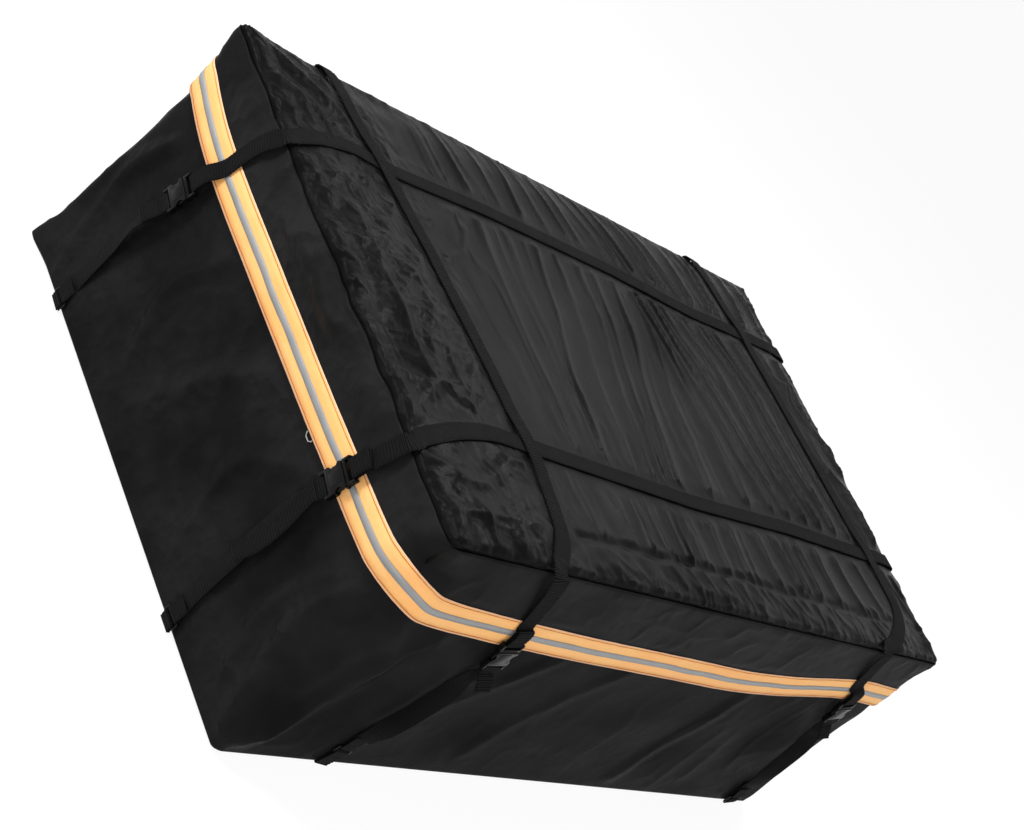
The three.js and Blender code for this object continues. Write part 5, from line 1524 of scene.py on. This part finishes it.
def socket_shape(bm):
    """Two plates with a raised panel, the solid end, and the sides that hold the bar and the pocket."""
    outline = thumb_outline()
    slab(bm, outline, 0, SHELL, 0.5)
    slab(bm, outline, BUCKLE_THICKNESS - SHELL, BUCKLE_THICKNESS, 0.7)
    panel = rectangle(8.5, -22, -3.5, 2)
    slab(bm, panel, BUCKLE_THICKNESS - 0.2, BUCKLE_THICKNESS + 0.35, 0.25)
    block(bm, (-HALF_WIDTH + 0.4, -SOCKET_LENGTH + 0.2, 0.6), (HALF_WIDTH - 0.4, -POCKET - 0.2, 9.4))
    for side in (-1, 1):
        low, high = sorted((side * SLOT_HALF, side * HALF_WIDTH))
        block(bm, (low, -35.5, 0.5), (high, -SOCKET_LENGTH + 1, 9.5), 0.9)
        low, high = sorted((side * 14.9, side * 16.6))
        block(bm, (low, -5, 1.2), (high, -0.2, 8.8), 0.4)
        block(bm, (low, -POCKET, 1.2), (high, -19.5, 8.8), 0.4)
    round_bar(bm, FEMALE_BAR_UP, SLOT_HALF + 1)


print("socket plate has", len(thumb_outline()), "corners")

# %% Shape the prongs and the ring
PRONG = [(14.2, 1), (14.4, -6), (15.4, -10), (15.6, -15), (14.2, -18.5), (11, -20), (9.6, -19),
         (10.2, -12), (9.4, -2), (9.2, 1)]
PRONG_LOW, PRONG_HIGH = 2.6, 7.4


def prong_shape(bm):
    """The bridge with its two prongs and a guide between them, grip ribs, and the sides with the bar."""
    slab(bm, rectangle(HALF_WIDTH, 0.4, 5.2, 1.2), 1, 9, 0.8)
    for side in (-1, 1):
        low, high = sorted((side * SLOT_HALF, side * HALF_WIDTH))
        block(bm, (low, 4.6, 1), (high, 13.5, 9), 0.9)
        slab(bm, [(side * x, y) for x, y in PRONG], PRONG_LOW, PRONG_HIGH, 0.5)
    slab(bm, rectangle(5, -13.8, 1, 1.2), PRONG_LOW, PRONG_HIGH, 0.5)
    for up in (1.6, 2.8, 4.0):
        block(bm, (-11, up - 0.35, 8.7), (11, up + 0.35, 9.35), 0.2)
    round_bar(bm, MALE_BAR_UP, SLOT_HALF + 1)


def ring_shape(bm):
    outer = rectangle(SLOT_HALF + 3, -6.75, 6.75, 2.5)
    inner = rectangle(SLOT_HALF, -3.75, 3.75, 1)
    slab(bm, outer, BAR_DEPTH - 1.5, BAR_DEPTH + 1.5, 0.9, hole=inner)


for name in ENDS:
    socket = moulding(f"socket_{name}", buckle_frames[name], socket_shape, BUCKLE)
    settle_on(socket, f"{name}_release", "buckle_plastic", f"female_buckle_{name}")
    prongs = moulding(f"prongs_{name}", buckle_frames[name], prong_shape, BUCKLE)
    settle_on(prongs, "bag", "buckle_plastic", f"male_buckle_{name}")
    ring = moulding(f"ring_{name}", ring_frames[name], ring_shape, BUCKLE)
    settle_on(ring, "bag", "buckle_plastic", f"strap_ring_{name}")
print("buckles:", len(ENDS))

# %% [markdown]
# ## The zip
# The chain could be built tooth by tooth, but it hides in its groove under the flap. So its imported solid
# stays and gets its finish, and so do the sliders. Each slider carries a loop of pale cord whose end shows
# under the hem.

# %% Finish the zip and its pulls
PULL_OFFSET = 1.6
HALF_CORD = 0.75
PULL_PLACES = {"left": -163, "right": 20}


def pull_shape(bm):
    outer = rectangle(8, -37.25, 0.75, 4)
    inner = rectangle(6.5, -35.75, -0.75, 3)
    slab(bm, outer, PULL_OFFSET - HALF_CORD, PULL_OFFSET + HALF_CORD, 0.55, hole=inner)


for side, at in PULL_PLACES.items():
    runner = seat(side, at, ZIP_HEIGHT, 0, 0)
    pull = moulding(f"pull_{side}", runner, pull_shape, PULL_CORD)
    settle_on(pull, f"zip_runner_{side}", "pull_cord", f"zip_pull_{side}")
for node, material in (("zip_chain", ZIP_TAPE), ("zip_slider_left", METAL), ("zip_slider_right", METAL)):
    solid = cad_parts[node]
    solid.data.materials.clear()
    solid.data.materials.append(material)
print("zip finished")

# %% [markdown]
# ## Floor and light
# A pale floor and a plain white surround keep the bag readable. Stronger lamps would make them white too,
# but they would wash out the black cloth. So floor and surround are white only for the rays that look at
# them, straight or in a reflection. The floor still takes the bag's shadow, because a part of its white is
# lit by the lamps.

# %% Set the floor and the surround
RAYS_THAT_SEE_WHITE = (0, 3, 6)
FLOOR_DROP = 0.0005
FLOOR_GLOW = 0.9
SURROUND_SEEN = 1.0
SURROUND_LIGHT = 0.32


def sees_white(tree):
    """1 for camera, glossy and transmission rays, which see plain white, and 0 for the rays that light."""
    path = tree.nodes.new("ShaderNodeLightPath")
    seen, mirrored, through = (Signal(tree, path.outputs[ray]) for ray in RAYS_THAT_SEE_WHITE)
    return seen.math("MAXIMUM", mirrored).math("MAXIMUM", through)


def studio_floor():
    bm = bmesh.new()
    bmesh.ops.create_grid(bm, x_segments=1, y_segments=1, size=20)
    mesh = bpy.data.meshes.new("studio_floor")
    bm.to_mesh(mesh)
    bm.free()
    finish = Finish("studio_floor", 0.9, Specular_IOR_Level=0.0, Emission_Color=grey(1.0))
    white = sees_white(finish.tree)
    finish.give("Base Color", finish.mix(white, grey(0.62), grey(0.16)))
    finish.give("Emission Strength", white * FLOOR_GLOW)
    floor = link("studio_floor", mesh, finish.material)
    floor.location.z = -FLOOR_DROP


def studio_world():
    world = bpy.data.worlds.new("studio_world")
    bpy.context.scene.world = world
    world.use_nodes = True
    background = world.node_tree.nodes["Background"]
    strength = sees_white(world.node_tree) * (SURROUND_SEEN - SURROUND_LIGHT) + SURROUND_LIGHT
    background.inputs["Color"].default_value = grey(1.0)
    world.node_tree.links.new(strength.socket, background.inputs["Strength"])


studio_floor()
studio_world()
print("floor and surround ready")

# %% Hang the lamps
# Each lamp: its name, place, aim, side in metres and power in watts
LAMPS = (
    ("high_back", (1.4, 1.0, 2.6), (0, 0, 0.4), 0.8, 30),
    ("high_left", (-1.7, 1.0, 2.6), (-0.2, 0, 0.3), 0.7, 52),
    ("left_far", (-2.3, 1.7, 1.5), (-0.4, 0, 0.3), 0.6, 34),
    ("low_near", (-2.8, -2.0, 1.1), (0, 0, 0.2), 0.9, 34),
    ("low_front", (0.5, -3.2, 1.2), (0, 0, 0.2), 0.8, 31),
)


def softbox(name, place, aim, side, power):
    data = bpy.data.lights.new(name, "AREA")
    data.shape = "RECTANGLE"
    data.size = data.size_y = side
    data.energy = power
    lamp = bpy.data.objects.new(name, data)
    bpy.context.scene.collection.objects.link(lamp)
    lamp.location = place
    lamp.rotation_euler = (Vector(aim) - Vector(place)).to_track_quat("-Z", "Y").to_euler()


for lamp in LAMPS:
    softbox(*lamp)
print("lamps:", len(LAMPS))
